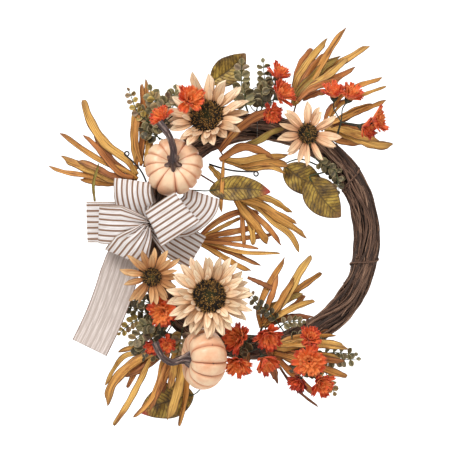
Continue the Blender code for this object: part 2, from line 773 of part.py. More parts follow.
def make_eucalyptus(parent):
    """Round-leaved sprigs, one stem each."""
    sprigs = {
        "upper_left": (((-131, 140, 26), (-163, 212, 40)), 5, 17, 11),
        "top": (((-14, 191, 22), (-24, 262, 28)), 4, 15, 12),
        "left": (((-150, -118, 24), (-200, -146, 30)), 3, 17, 12),
        "lower_right": (((66, -180, 20), (142, -186, 26)), 4, 12, 10),
        "lower_centre": (((40, -144, 34), (-6, -92, 38)), 4, 14, 13),
    }
    for name, (stem, pairs, spread, width) in sprigs.items():
        leaves = eucalyptus_leaves(stem, pairs, spread, width)
        make_spray(f"eucalyptus_{name}", "eucalyptus", parent, stem, leaves, LEAF_THICK, ROUND_PROFILE)


def make_tendrils(parent):
    """Curled wires: a stalk, then one turn at the tip."""
    tendrils = {
        "left": ((-166, 66, 42), (-203, 126, 40), 4.0),
        "centre": ((-74, 112, 42), (-2, 100, 58), 4.0),
    }
    for name, (start, end, curl) in tendrils.items():
        first, last = at(*start), at(*end)
        along = (last - first).normalized()
        side = along.cross(Vector((0, -1, 0))).normalized()
        points = [first.lerp(last, k / 4) for k in range(5)]
        for k in range(1, 8):
            turn = math.radians(42 * k)
            swing = side * curl * (1 - math.cos(turn)) + along * curl * math.sin(turn)
            points.append(last + (swing - Vector((0, 0.25 * k, 0))) * MM)
        add_object(f"tendril_{name}", tube_bm(points, [0.7 * MM] * len(points), 4), "wire", parent)


def make_flowers(parent):
    make_sunflower("sunflower_upper_left", parent, "cream_petal", (-78, 188, 82), (-0.2, -1, 0.33),
                   26, 66, 16, 18, [(-74, 172, 52), (-68, 160, 41)])
    make_sunflower("sunflower_upper_right", parent, "peach_petal", (76, 157, 74), (0.25, -1, 0.05),
                   15, 52, 14, 6, [(75, 155, 52), (74, 154, 41)])
    make_sunflower("sunflower_left", parent, "peach_petal", (-160, -60, 86), (0, -1, -0.25),
                   14, 48, 14, 10, [(-160, -56, 58), (-159, -58, 41)])
    make_sunflower("sunflower_lower", parent, "cream_petal", (-73, -88, 101), (0.1, -1, 0.16),
                   26, 68, 16, 18, [(-82, -104, 66), (-104, -126, 40)])


def make_daisies(parent):
    make_daisy_spray("daisy_spray_upper_left", parent, (-120, 134, 38.5), (-150, 167, 78), [
        ((-153, 190, 90), (-0.5, -0.7, 0.3), 14),
        ((-107, 212, 106), (0.5, -0.8, 0.2), 17),
    ])
    make_daisy_spray("daisy_spray_top", parent, (12, 178, 36), (16, 200, 46), [
        ((33, 257, 44), (0.8, -0.2, 0.5), 14),
        ((40, 222, 58), (0.9, -0.4, 0.1), 14),
        ((24, 190, 70), (0.3, -0.9, -0.3), 13),
    ])
    make_daisy_spray("daisy_spray_right", parent, (120, 148, 34), (128, 176, 50), [
        ((117, 222, 58), (-0.1, -0.5, 0.8), 13),
        ((143, 218, 60), (0.4, -0.5, 0.7), 14),
        ((183, 178, 60), (0.9, -0.4, 0.1), 17),
        ((162, 162, 58), (0.4, -0.6, -0.7), 12),
    ])
    make_daisy_spray("daisy_spray_left", parent, (-136, -124, 38), (-146, -140, 48), [
        ((-143, -115, 70), (-0.1, -1, -0.2), 19),
        ((-160, -166, 56), (-0.4, -0.8, -0.4), 12),
        ((-138, -164, 62), (0.2, -0.9, -0.3), 12),
    ])
    make_daisy_spray("daisy_spray_bottom", parent, (-16, -170, 39), (-9, -174, 52), [
        ((-32, -152, 74), (-0.2, -1, 0.1), 19),
        ((17, -150, 70), (0.1, -1, 0.2), 18),
        ((-30, -198, 66), (-0.2, -0.9, -0.3), 16),
        ((15, -196, 64), (0.4, -0.8, -0.3), 16),
    ])
    make_daisy_spray("daisy_spray_lower_right", parent, (64, -164, 39), (70, -176, 54), [
        ((79, -150, 70), (0.1, -0.9, 0.4), 15),
        ((78, -188, 84), (0, -1, 0), 20),
        ((62, -220, 62), (-0.4, -0.8, -0.4), 14),
        ((98, -222, 68), (0.4, -0.9, -0.3), 18),
    ])


def make_magnolia_leaves(parent):
    make_magnolia_leaf("magnolia_leaf_top", parent, [(-66, 181, 12), (-74, 212, 12), (-74, 240, 14)],
                       (-16, 284, 18), 50, (0.1, -1, 0.1))
    make_magnolia_leaf("magnolia_leaf_centre", parent, [(-130, 71, 28), (-100, 72, 42), (-74, 71, 54)],
                       (20, 69, 56), 40, (0, -1, 0.2))
    make_magnolia_leaf("magnolia_leaf_right_low", parent, [(110, 101, 22), (96, 98, 34), (82, 88, 40)],
                       (122, 36, 42), 50, (0.1, -1, 0))
    make_magnolia_leaf("magnolia_leaf_right_high", parent, [(102, 108, 14), (96, 110, 16), (90, 112, 20)],
                       (46, 74, 26), 46, (0, -1, 0.1))
    make_magnolia_leaf("magnolia_leaf_bottom", parent, [(-72, -178, 12), (-82, -226, 10), (-98, -244, 9)],
                       (-180, -272, 8), 48, (0, -1, 0.05))


def build():
    clear_scene()
    wreath = bpy.data.objects.new("ring_centre", None)
    bpy.context.scene.collection.objects.link(wreath)
    wreath.location = Vector((0, HOOK_DEPTH, -HOOK_HEIGHT)) * MM
    make_ring(wreath)
    make_hanger(wreath)
    make_husk_sprays(wreath)
    make_eucalyptus(wreath)
    make_magnolia_leaves(wreath)
    make_tendrils(wreath)
    make_bow(wreath)
    make_tail(wreath)
    make_flowers(wreath)
    make_pumpkin("pumpkin_upper", wreath, (-128, 107, 75), (0.02, -1, 0.2), 44.5, 33,
                 [(-127, 132, 116), (-131, 147, 117), (-138, 160, 114), (-147, 172, 108)])
    make_pumpkin("pumpkin_lower", wreath, (-83, -184, 86), (-0.93, -0.36, 0.02), 46.5, 33,
                 [(-132, -187, 105), (-142, -181, 106), (-149, -171, 105), (-154, -158, 103)])
    make_daisies(wreath)


build()
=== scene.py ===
"""A harvest door wreath: a grapevine ring dressed with pumpkins, sunflowers, daisies, leaves and a bow.

Places are given on the bench, the ring's own frame in millimetres: x to the right and z up from the
ring's centre, and d forward from the door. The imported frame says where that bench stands.
"""

from __future__ import annotations

import json
import logging
import math
from dataclasses import dataclass, field
from enum import Enum
from functools import lru_cache
from typing import Any, Sequence

import bpy
import numpy as np
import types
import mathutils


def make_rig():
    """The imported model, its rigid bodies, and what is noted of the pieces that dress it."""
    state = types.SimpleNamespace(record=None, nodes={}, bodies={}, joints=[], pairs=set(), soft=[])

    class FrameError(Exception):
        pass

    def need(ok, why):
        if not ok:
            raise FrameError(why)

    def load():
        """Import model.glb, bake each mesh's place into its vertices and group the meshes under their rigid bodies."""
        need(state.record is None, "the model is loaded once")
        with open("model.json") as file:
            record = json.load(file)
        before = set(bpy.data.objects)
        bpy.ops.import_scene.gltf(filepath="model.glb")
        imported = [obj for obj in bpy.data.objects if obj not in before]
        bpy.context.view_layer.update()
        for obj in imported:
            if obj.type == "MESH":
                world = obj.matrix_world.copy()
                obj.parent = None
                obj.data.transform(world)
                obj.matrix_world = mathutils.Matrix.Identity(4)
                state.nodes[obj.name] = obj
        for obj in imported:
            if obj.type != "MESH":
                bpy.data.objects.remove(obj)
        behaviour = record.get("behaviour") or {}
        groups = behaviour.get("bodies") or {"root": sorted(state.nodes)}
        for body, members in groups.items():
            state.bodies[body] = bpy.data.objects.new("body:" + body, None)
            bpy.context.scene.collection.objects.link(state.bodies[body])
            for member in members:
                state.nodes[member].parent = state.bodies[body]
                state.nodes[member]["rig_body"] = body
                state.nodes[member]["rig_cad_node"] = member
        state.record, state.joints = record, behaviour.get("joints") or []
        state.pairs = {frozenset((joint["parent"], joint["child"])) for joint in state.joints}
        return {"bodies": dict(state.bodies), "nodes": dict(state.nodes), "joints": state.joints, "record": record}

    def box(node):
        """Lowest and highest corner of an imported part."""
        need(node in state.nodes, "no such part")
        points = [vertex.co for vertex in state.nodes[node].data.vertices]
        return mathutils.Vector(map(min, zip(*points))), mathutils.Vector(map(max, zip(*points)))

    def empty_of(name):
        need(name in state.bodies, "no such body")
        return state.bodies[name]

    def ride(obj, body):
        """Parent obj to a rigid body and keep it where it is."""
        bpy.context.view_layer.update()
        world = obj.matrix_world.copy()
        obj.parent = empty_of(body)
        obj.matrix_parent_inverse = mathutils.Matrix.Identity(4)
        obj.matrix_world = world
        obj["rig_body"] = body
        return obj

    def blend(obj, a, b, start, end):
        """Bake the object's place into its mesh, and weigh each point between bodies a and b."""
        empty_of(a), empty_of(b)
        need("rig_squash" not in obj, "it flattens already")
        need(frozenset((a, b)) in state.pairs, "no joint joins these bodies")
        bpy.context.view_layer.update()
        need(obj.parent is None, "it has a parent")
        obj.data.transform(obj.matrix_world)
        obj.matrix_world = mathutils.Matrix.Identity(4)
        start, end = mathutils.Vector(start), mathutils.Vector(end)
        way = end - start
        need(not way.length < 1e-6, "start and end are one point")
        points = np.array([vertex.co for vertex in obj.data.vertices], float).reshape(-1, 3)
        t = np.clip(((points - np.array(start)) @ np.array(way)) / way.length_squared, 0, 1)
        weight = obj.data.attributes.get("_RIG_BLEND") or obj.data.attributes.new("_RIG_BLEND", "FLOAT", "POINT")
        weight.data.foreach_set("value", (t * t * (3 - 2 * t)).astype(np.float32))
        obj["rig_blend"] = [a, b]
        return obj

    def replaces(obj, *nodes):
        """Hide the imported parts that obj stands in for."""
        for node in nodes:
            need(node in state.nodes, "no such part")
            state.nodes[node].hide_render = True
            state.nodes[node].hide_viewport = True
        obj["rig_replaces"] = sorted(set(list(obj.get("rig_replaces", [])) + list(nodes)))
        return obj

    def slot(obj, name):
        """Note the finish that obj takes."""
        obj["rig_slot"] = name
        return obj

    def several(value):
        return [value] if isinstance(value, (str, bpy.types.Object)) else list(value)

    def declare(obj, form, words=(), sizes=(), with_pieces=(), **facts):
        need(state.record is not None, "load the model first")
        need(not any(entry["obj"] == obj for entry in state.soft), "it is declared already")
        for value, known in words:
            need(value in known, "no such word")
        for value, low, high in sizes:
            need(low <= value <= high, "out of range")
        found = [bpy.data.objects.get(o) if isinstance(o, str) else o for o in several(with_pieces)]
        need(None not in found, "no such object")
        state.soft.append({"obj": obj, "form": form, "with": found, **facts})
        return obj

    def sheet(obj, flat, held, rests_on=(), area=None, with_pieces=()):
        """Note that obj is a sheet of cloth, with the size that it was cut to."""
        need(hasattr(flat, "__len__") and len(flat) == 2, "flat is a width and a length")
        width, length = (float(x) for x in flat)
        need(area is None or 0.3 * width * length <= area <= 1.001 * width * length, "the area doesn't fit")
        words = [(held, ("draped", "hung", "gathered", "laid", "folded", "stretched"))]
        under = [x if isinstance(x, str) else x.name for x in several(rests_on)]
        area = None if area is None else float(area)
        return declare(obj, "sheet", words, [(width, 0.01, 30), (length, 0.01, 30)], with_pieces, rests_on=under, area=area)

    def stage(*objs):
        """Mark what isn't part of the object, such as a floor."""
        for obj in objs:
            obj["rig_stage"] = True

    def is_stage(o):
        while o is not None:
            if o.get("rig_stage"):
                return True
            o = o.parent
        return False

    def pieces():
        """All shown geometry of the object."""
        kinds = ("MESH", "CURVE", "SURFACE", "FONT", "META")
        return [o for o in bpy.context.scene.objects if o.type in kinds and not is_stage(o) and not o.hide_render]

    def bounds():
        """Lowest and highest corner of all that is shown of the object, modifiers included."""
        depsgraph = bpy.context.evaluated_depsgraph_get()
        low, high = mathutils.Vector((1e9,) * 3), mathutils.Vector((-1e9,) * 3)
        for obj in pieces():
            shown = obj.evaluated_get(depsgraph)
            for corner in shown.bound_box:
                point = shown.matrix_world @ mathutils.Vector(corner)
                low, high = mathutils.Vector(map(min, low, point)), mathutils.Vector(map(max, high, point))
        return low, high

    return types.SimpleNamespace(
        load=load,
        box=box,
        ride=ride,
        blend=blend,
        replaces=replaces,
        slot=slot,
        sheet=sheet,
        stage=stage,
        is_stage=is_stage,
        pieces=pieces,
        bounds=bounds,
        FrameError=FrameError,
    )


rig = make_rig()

LOG = logging.getLogger("wreath")
MM = 0.001
FRONT = np.array([0.0, 0.0, 1.0])  # towards the viewer, on the bench
RING_RADIUS = 170.0  # to the middle of the bundle of vines
RING_DEPTH = 19.0  # from the door to that middle
TONE_STRIDE = 37.0  # how far apart two shades' patterns are read, in waves
TIED_WIDTH = 13.0  # what the ribbon covers where it is tied
GOLDEN_ANGLE = math.radians(137.508)
SENSOR_WIDTH = 36.0
WHITE = (1.0, 1.0, 1.0, 1.0)
Place = tuple[float, float, float]


# ---------------------------------------------------------------- the bench and its arithmetic


@dataclass(frozen=True)
class Bench:
    """The ring's own frame.

    Args:
        centre: world place, in metres, of the ring's centre on the door's face.
    """

    centre: np.ndarray

    @classmethod
    def from_frame(cls) -> Bench:
        """The bench that the ring's core stands on: its middle, and its flat back.

        Returns:
            The bench.
        """
        low, high = (np.array(corner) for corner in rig.box("core_vines"))
        middle = (low + high) / 2
        return cls(np.array([middle[0], high[1], middle[2]]))

    def world(self, points: np.ndarray) -> np.ndarray:
        """Bench millimetres (x, z, d) to world metres."""
        return self.centre + points[..., [0, 2, 1]] * np.array([1.0, -1.0, 1.0]) * MM

    def point(self, place: Place) -> tuple[float, float, float]:
        """One bench place as a world point."""
        return tuple(float(v) for v in self.world(np.array(place, float)))

    def middle_of(self, node: str) -> np.ndarray:
        """The bench place of the middle of a node's box.

        Args:
            node: a CAD node.

        Returns:
            The place.
        """
        low, high = (np.array(corner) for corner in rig.box(node))
        offset = ((low + high) / 2 - self.centre) / MM
        return offset[[0, 2, 1]] * np.array([1.0, 1.0, -1.0])


def unit(vectors: np.ndarray) -> np.ndarray:
    """Vectors scaled to length one."""
    return vectors / np.maximum(np.linalg.norm(vectors, axis=-1, keepdims=True), 1e-9)


def distances(path: np.ndarray) -> np.ndarray:
    """How far along a path each of its places lies: the steps' lengths, summed."""
    return np.concatenate([[0.0], np.cumsum(np.linalg.norm(np.diff(path, axis=0), axis=1))])


def path_length(path: np.ndarray) -> float:
    """Length of a path, in its own units."""
    return float(distances(path)[-1])


def smooth_path(points: Sequence[Place], count: int) -> np.ndarray:
    """A cubic Hermite curve through the points, read at equal steps of its length.

    Args:
        points: the bench places that it passes.
        count: how many places to return.

    Returns:
        (count, 3) bench places.
    """
    knots = np.asarray(points, float)
    run = distances(knots)
    slopes = np.gradient(knots, run, axis=0)
    dense = np.linspace(0.0, run[-1], 8 * count)
    cell = np.clip(np.searchsorted(run, dense, side="right") - 1, 0, len(knots) - 2)
    span = (run[cell + 1] - run[cell])[:, None]
    t = (dense - run[cell])[:, None] / span
    curve = (
        (2 * t**3 - 3 * t**2 + 1) * knots[cell]
        + (t**3 - 2 * t**2 + t) * span * slopes[cell]
        + (3 * t**2 - 2 * t**3) * knots[cell + 1]
        + (t**3 - t**2) * span * slopes[cell + 1]
    )
    length = distances(curve)
    even = np.linspace(0.0, length[-1], count)
    return np.stack([np.interp(even, length, curve[:, axis]) for axis in range(3)], axis=-1)


def head_axes(look: Place) -> np.ndarray:
    """Rows: a flower's own right, up and look, for one that looks along look on the bench.

    Args:
        look: the way that it faces.

    Returns:
        Three rows of length one.
    """
    ahead = unit(np.array(look, float))
    right = unit(np.cross([0.0, 1.0, 0.0], ahead))
    return np.stack([right, np.cross(ahead, right), ahead])


# ---------------------------------------------------------------- meshes from grids


@dataclass
class Stack:
    """Grids of one layout, drawn together.

    Args:
        points: (count, rows, columns, 3) bench places. Rows run along a shape, columns across or round it.
        uv: pattern place of each point in millimetres, (count or 1, rows, columns, 2). A tube has one
            column more, for where its last column meets its first.
        tone: a shade for each grid or point, from 0 to 1.
        edge: 0 on the middle line or crest, 1 at the margin or groove.
        run: 0 at the root, 1 at the tip.
        tube: whether the last column joins the first.
        ring: whether the last row joins the first as well, so that the tube has no ends. Its pattern
            has one row more.
    """

    points: np.ndarray
    uv: np.ndarray
    tone: np.ndarray | float = 0.5
    edge: np.ndarray | float = 0.0
    run: np.ndarray | float = 0.0
    tube: bool = False
    ring: bool = False

    def spread(self, value: np.ndarray | float) -> np.ndarray:
        """A value for every point, from one for all, one for each grid or one for each point.

        Args:
            value: a number or an array.

        Returns:
            One value for each point, in order.
        """
        array = np.asarray(value, float)
        if array.ndim == 1:
            array = array[:, None, None]
        return np.broadcast_to(array, self.points.shape[:3]).ravel()

    def faces(self) -> tuple[np.ndarray, np.ndarray, np.ndarray]:
        """Corner vertices, corners in each face, and each corner's pattern place.

        Quads join neighbouring rows and columns; a cap is one polygon of an end row's columns.

        Returns:
            The three arrays.
        """
        count, rows, columns = self.points.shape[:3]
        cell = np.arange(rows * columns).reshape(rows, columns)
        if self.tube:
            cell = np.concatenate([cell, cell[:, :1]], axis=1)
        if self.ring:
            cell = np.concatenate([cell, cell[:1]])
        place = np.arange(cell.size).reshape(cell.shape)

        def quads(grid: np.ndarray) -> np.ndarray:
            """Corners of every quad of a grid, across and then along."""
            ring = [grid[:-1, :-1], grid[:-1, 1:], grid[1:, 1:], grid[1:, :-1]]
            return np.stack(ring, axis=-1).reshape(-1)

        def ends(grid: np.ndarray) -> np.ndarray:
            """Corners of the two caps, each seen from outside."""
            return np.concatenate([grid[0, :columns][::-1], grid[-1, :columns]])

        repeat = np.arange(count)[:, None]
        corners = [(quads(cell)[None] + rows * columns * repeat).ravel()]
        places = [(quads(place)[None] + cell.size * repeat).ravel()]
        sizes = [np.full(corners[0].size // 4, 4)]
        if self.tube and not self.ring:
            corners.append((ends(cell)[None] + rows * columns * repeat).ravel())
            places.append((ends(place)[None] + cell.size * repeat).ravel())
            sizes.append(np.full(2 * count, columns))
        uv = np.broadcast_to(self.uv, (count, *cell.shape, 2)).reshape(-1, 2)
        return np.concatenate(corners), np.concatenate(sizes), uv[np.concatenate(places)]


@dataclass(frozen=True)
class Workshop:
    """Turns stacks of grids into pieces of the wreath.

    Args:
        bench: where the ring stands.
    """

    bench: Bench

    def piece(
        self,
        name: str,
        stacks: Sequence[Stack],
        finish: Finish,
        slot: str,
        stands_for: Sequence[str] = (),
        body: str | None = "wreath",
        thick: float = 0.0,
    ) -> bpy.types.Object:
        """Makes one piece, dresses it and lets it ride.

        Args:
            name: the piece's name.
            stacks: its grids.
            finish: what it is made of.
            slot: the record's material slot.
            stands_for: the CAD nodes it is shown in place of.
            body: the CAD body it rides on, or None where the caller says.
            thick: thickness in millimetres of a sheet that is drawn as one surface.

        Returns:
            The piece.
        """
        mesh = bpy.data.meshes.new(name)
        places = np.concatenate([s.points.reshape(-1, 3) for s in stacks])
        mesh.vertices.add(len(places))
        mesh.vertices.foreach_set("co", self.bench.world(places).astype(np.float32).ravel())
        base, corners, sizes, patterns = 0, [], [], []
        for stack in stacks:
            corner, size, pattern = stack.faces()
            corners.append(corner + base)
            sizes.append(size)
            patterns.append(pattern)
            base += stack.points[..., 0].size
        size = np.concatenate(sizes)
        corner = np.concatenate(corners)
        mesh.loops.add(len(corner))
        mesh.loops.foreach_set("vertex_index", corner.astype(np.int32))
        mesh.polygons.add(len(size))
        mesh.polygons.foreach_set("loop_start", (np.cumsum(size) - size).astype(np.int32))
        mesh.polygons.foreach_set("use_smooth", np.ones(len(size), bool))
        mesh.update(calc_edges=True)
        layer = mesh.uv_layers.new(name="Pattern")
        layer.uv.foreach_set("vector", np.concatenate(patterns).astype(np.float32).ravel())
        for label in ("tone", "edge", "run"):
            values = np.concatenate([s.spread(getattr(s, label)) for s in stacks])
            attribute = mesh.attributes.new(label, "FLOAT", "POINT")
            attribute.data.foreach_set("value", values.astype(np.float32))
        mesh.validate()
        mesh.materials.append(material_of(finish))
        made = bpy.data.objects.new(name, mesh)
        bpy.context.scene.collection.objects.link(made)
        if thick:
            wall = made.modifiers.new("thickness", "SOLIDIFY")
            wall.thickness = thick * MM
            wall.offset = 0.0
        if body:
            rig.ride(made, body)
        if stands_for:
            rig.replaces(made, *stands_for)
        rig.slot(made, slot)
        LOG.info("%s: %d faces, for %s", name, len(size), ", ".join(stands_for) or "no node")
        return made


def tube(
    path: np.ndarray,
    radius: np.ndarray | float,
    sides: int = 8,
    reference: np.ndarray = FRONT,
    tone: float = 0.5,
    knurl: np.ndarray | float = 0.0,
) -> Stack:
    """A round or ridged rod: circles square to the path, of the radius at each place.

    Args:
        path: (rows, 3) bench places.
        radius: one, or one for each place.
        sides: columns round the rod.
        reference: a direction that the path never runs along, or one for each place.
        tone: the rod's shade.
        knurl: how much of the radius is added at each place and side, (rows, sides).

    Returns:
        The rod, with its ends closed.
    """
    along = unit(np.gradient(path, axis=0))
    side = unit(np.cross(along, reference))
    other = np.cross(along, side)
    turn = np.linspace(0, 2 * math.pi, sides, endpoint=False)
    reach = np.broadcast_to(np.asarray(radius, float), len(path))[:, None] * (1 + np.asarray(knurl))
    circle = np.cos(turn)[None, :, None] * side[:, None] + np.sin(turn)[None, :, None] * other[:, None]
    points = path[:, None] + np.broadcast_to(reach, (len(path), sides))[..., None] * circle
    run = distances(path)
    girth = np.linspace(0, 2 * math.pi * float(np.mean(radius)), sides + 1)
    uv = np.stack(np.broadcast_arrays(girth[None, :], run[:, None]), axis=-1)[None]
    share = (run / max(run[-1], 1e-9))[None, :, None]
    return Stack(points[None], uv, tone=tone, run=share, tube=True)


def strip(
    path: np.ndarray,
    half: np.ndarray,
    facing: np.ndarray,
    columns: int,
    roll: np.ndarray | float = 0.0,
    lift: np.ndarray | float = 0.0,
    tone: float = 0.5,
) -> Stack:
    """A blade along a path: across it by half to each side, lifted off its own plane.

    Args:
        path: (rows, 3) bench places of the middle line.
        half: (rows,) half width, or (rows, 2) for the left and right halves.
        facing: the way the blade looks.
        columns: places across.
        roll: (rows,) turn of the blade about its path, in radians.
        lift: (rows, columns) millimetres towards facing.
        tone: the blade's shade.

    Returns:
        The blade, with its normals towards facing.
    """
    rows = len(path)
    along = unit(np.gradient(path, axis=0))
    across = unit(np.cross(along, facing))
    front = np.cross(across, along)
    turn = np.broadcast_to(np.asarray(roll, float), rows)[:, None]
    rolled = np.cos(turn) * across + np.sin(turn) * front
    face = np.cos(turn) * front - np.sin(turn) * across
    u = np.linspace(-1, 1, columns)
    halves = half if half.ndim == 2 else np.stack([half, half], axis=-1)
    offset = np.where(u < 0, halves[:, :1], halves[:, 1:]) * u
    points = path[:, None] + offset[..., None] * rolled[:, None]
    points = points + np.broadcast_to(lift, (rows, columns))[..., None] * face[:, None]
    run = distances(path)
    uv = np.stack([offset, np.broadcast_to(run[:, None], offset.shape)], axis=-1)[None]
    share = (run / run[-1])[None, :, None]
    return Stack(points[None], uv, tone=tone, edge=np.abs(u)[None, None, :], run=share)


def petal_ring(
    centre: np.ndarray,
    axes: np.ndarray,
    angles: np.ndarray,
    root: float,
    length: np.ndarray,
    width: np.ndarray,
    pitch: np.ndarray,
    curl: np.ndarray,
    outline: tuple[Sequence[float], Sequence[float]],
    rows: int = 14,
    columns: int = 7,
    hollow: float = 0.25,
    ripple: float = 0.6,
    teeth: float = 0.0,
    base: float = 0.0,
    tone: np.ndarray | float = 0.5,
) -> Stack:
    """Petals round a head. Each runs out by s and rises with its pitch, plus curl times s squared.

    Args:
        centre: the head's middle on the bench.
        axes: the head's right, up and look.
        angles: (count,) where each petal points.
        root: radius that they start at.
        length: (count,) of each petal.
        width: (count,) of each petal at its widest.
        pitch: (count,) rise above the head's plane, in radians.
        curl: (count,) millimetres that the tip lifts further.
        outline: shares of length and the share of width at each.
        hollow: how far the margins rise, as a share of the half width.
        ripple: waves of the margin, in millimetres.
        teeth: depth of the notches in the tip, as a share of the length.
        base: height of the petals' roots over the head's plane.
        tone: (count,) shades.

    Returns:
        All the petals.
    """
    s = np.linspace(0, 1, rows)[None, :, None]
    u = np.linspace(-1, 1, columns)[None, None, :]
    share = np.interp(s, *outline)
    half = 0.5 * np.asarray(width)[:, None, None] * share
    reach = np.asarray(length)[:, None, None]
    notch = 1 - teeth * (0.5 + 0.5 * np.cos(3 * math.pi * u)) * s**6
    out = root + reach * s * notch * np.cos(np.asarray(pitch))[:, None, None]
    phase = np.asarray(angles)[:, None, None] * 7.0
    rise = base + reach * s * np.sin(np.asarray(pitch))[:, None, None]
    rise = rise + np.asarray(curl)[:, None, None] * s**2 + hollow * half * u**2
    rise = rise + ripple * np.sin(2 * math.pi * 1.6 * s + phase) * u * s - 0.35 * (1 - np.abs(u)) ** 3
    lateral = half * u + 0.6 * np.sin(phase) * s**2 * half
    angle = np.asarray(angles)[:, None, None]
    right = out * np.cos(angle) - lateral * np.sin(angle)
    up = out * np.sin(angle) + lateral * np.cos(angle)
    local = np.stack(np.broadcast_arrays(right, up, rise), axis=-1)
    uv = np.stack(np.broadcast_arrays(half * u, reach * s), axis=-1)
    # Across then along is clockwise seen from the front, so the columns are turned round.
    return Stack(
        (centre + local @ axes)[:, :, ::-1],
        uv[:, :, ::-1],
        tone=tone,
        edge=np.abs(u),
        run=s,
    )


def scatter(
    shape: np.ndarray, size: np.ndarray, centre: np.ndarray, frames: np.ndarray, tone: np.ndarray
) -> Stack:
    """Copies of one small closed shape.

    Args:
        shape: (rows, columns, 3) of a tube about its own third axis.
        size: (count, 3) scales along its axes.
        centre: (count, 3) bench places.
        frames: (count, 3, 3) rows are each copy's axes on the bench.
        tone: (count,) shades.

    Returns:
        Every copy, place plus scaled shape times frame.
    """
    scaled = shape[None] * size[:, None, None, :]
    points = np.einsum("nrck,nkj->nrcj", scaled, frames) + centre[:, None, None, :]
    rows, columns = shape.shape[:2]
    uv = np.stack(np.meshgrid(np.arange(columns + 1.0), np.arange(rows * 1.0)), axis=-1)[None]
    run = np.linspace(0, 1, rows)[None, :, None]
    return Stack(points, uv, tone=tone, run=run, tube=True)


def turned(radii: Sequence[float], heights: Sequence[float], sides: int) -> np.ndarray:
    """A profile turned about the third axis: its radius by (cos, sin) of each side's angle.

    Args:
        radii: of each row.
        heights: of each row.
        sides: places round.

    Returns:
        (rows, sides, 3) places.
    """
    turn = np.linspace(0, 2 * math.pi, sides, endpoint=False)
    r = np.asarray(radii, float)[:, None]
    z = np.broadcast_to(np.asarray(heights, float)[:, None], (len(radii), sides))
    return np.stack([r * np.cos(turn), r * np.sin(turn), z], axis=-1)


def seated(
    local: np.ndarray, centre: np.ndarray, axes: np.ndarray, grain: float = 1.0, **marks: Any
) -> Stack:
    """A turned shape set on a head: its place times the head's axes, from the head's middle.

    Args:
        local: (rows, sides, 3) of the shape, in the head's own axes.
        centre: the head's middle on the bench.
        axes: the head's right, up and look.
        grain: pattern millimetres to one of the shape.
        marks: the stack's tone and edge.

    Returns:
        The shape, closed at both ends.
    """
    rows, sides = local.shape[:2]
    uv = np.zeros((1, rows, sides + 1, 2)) + grain * local[None, :, :1, :2]
    return Stack((centre + local @ axes)[None], uv, tube=True, **marks)


# ---------------------------------------------------------------- finishes


def linear(code: str) -> tuple[float, float, float, float]:
    """An sRGB hex value as linear colour, with an alpha of one.

    Args:
        code: such as #a1b2c3.

    Returns:
        Red, green, blue and alpha.
    """
    channels = np.array([int(code[start : start + 2], 16) for start in (1, 3, 5)]) / 255
    flat = np.where(channels <= 0.04045, channels / 12.92, ((channels + 0.055) / 1.055) ** 2.4)
    return (*(float(channel) for channel in flat), 1.0)


def add(
    tree: bpy.types.NodeTree,
    kind: str,
    *inputs: Any,
    stops: Sequence[tuple[float, str]] = (),
    **settings: Any,
) -> bpy.types.Node:
    """Adds one node with its settings and links.

    Args:
        tree: where it goes.
        kind: its type, without the ShaderNode in front.
        inputs: what its open inputs take, in order. A socket is linked, and so is a node's first
            open output. A hex colour, a place or a number is set, and None leaves an input alone.
        stops: a ramp's places and hex colours, in order.
        settings: its properties.

    Returns:
        The node.
    """
    node = tree.nodes.new(f"ShaderNode{kind}")
    for key, value in settings.items():
        setattr(node, key, value)
    for socket, given in zip([socket for socket in node.inputs if socket.enabled], inputs):
        if isinstance(given, bpy.types.Node):
            given = next(output for output in given.outputs if output.enabled)
        if isinstance(given, bpy.types.NodeSocket):
            tree.links.new(given, socket)
        elif given is not None:
            socket.default_value = linear(given) if isinstance(given, str) else given
    if stops:
        elements = node.color_ramp.elements
        for element, (place, code) in zip(elements, (stops[0], stops[-1])):
            element.position, element.color = place, linear(code)
        for place, code in stops[1:-1]:
            elements.new(place).color = linear(code)
    return node


class Board:
    """A finish's node tree, with what every finish reads from its piece.

    The piece's attributes are tone, its own shade; edge, how near the margin; and run, how far along.
    The pattern place is in millimetres, across and along, and its third coordinate is the tone times
    a long stride, so that no two leaves carry the same marks.
    """

    def __init__(self, tree: bpy.types.NodeTree) -> None:
        """Adds the nodes that read the piece.

        Args:
            tree: the material's nodes.
        """
        self.tree = tree
        self.tone, self.edge, self.run = (
            self.add("Attribute", attribute_name=mark).outputs["Fac"] for mark in ("tone", "edge", "run")
        )
        self.flat = self.add("UVMap", uv_map="Pattern")
        own = self.add("CombineXYZ", 0.0, 0.0, self.tone)
        self.place = self.add("VectorMath", own, (0.0, 0.0, TONE_STRIDE), self.flat, operation="MULTIPLY_ADD")
        self.solid = self.add("TexCoord").outputs["Object"]

    def add(self, kind: str, *inputs: Any, **settings: Any) -> bpy.types.Node:
        """Adds one node to this tree."""
        return add(self.tree, kind, *inputs, **settings)

    def clouds(self, across: float, along: float, detail: float = 3.0) -> bpy.types.Node:
        """Noise over the pattern place, with this many waves to a millimetre across and along."""
        place = self.add("VectorMath", self.place, (across, along, 1.0), operation="MULTIPLY")
        return self.add("TexNoise", place, 1.0, detail, 0.6)

    def over(
        self, under: Any, colour: str, value: Any, low: float, high: float, most: float = 1.0
    ) -> bpy.types.Node:
        """Lays a colour over another, smoothly more of it from where a value is low to where it is high.

        Args:
            under: what it is laid on.
            colour: in hex.
            value: what decides, such as the edge.
            low: where it begins.
            high: where it is full.
            most: its share there.

        Returns:
            The two colours mixed.
        """
        share = self.add("MapRange", value, low, high, 0.0, most, interpolation_type="SMOOTHSTEP")
        return self.add("Mix", share, under, colour, data_type="RGBA")


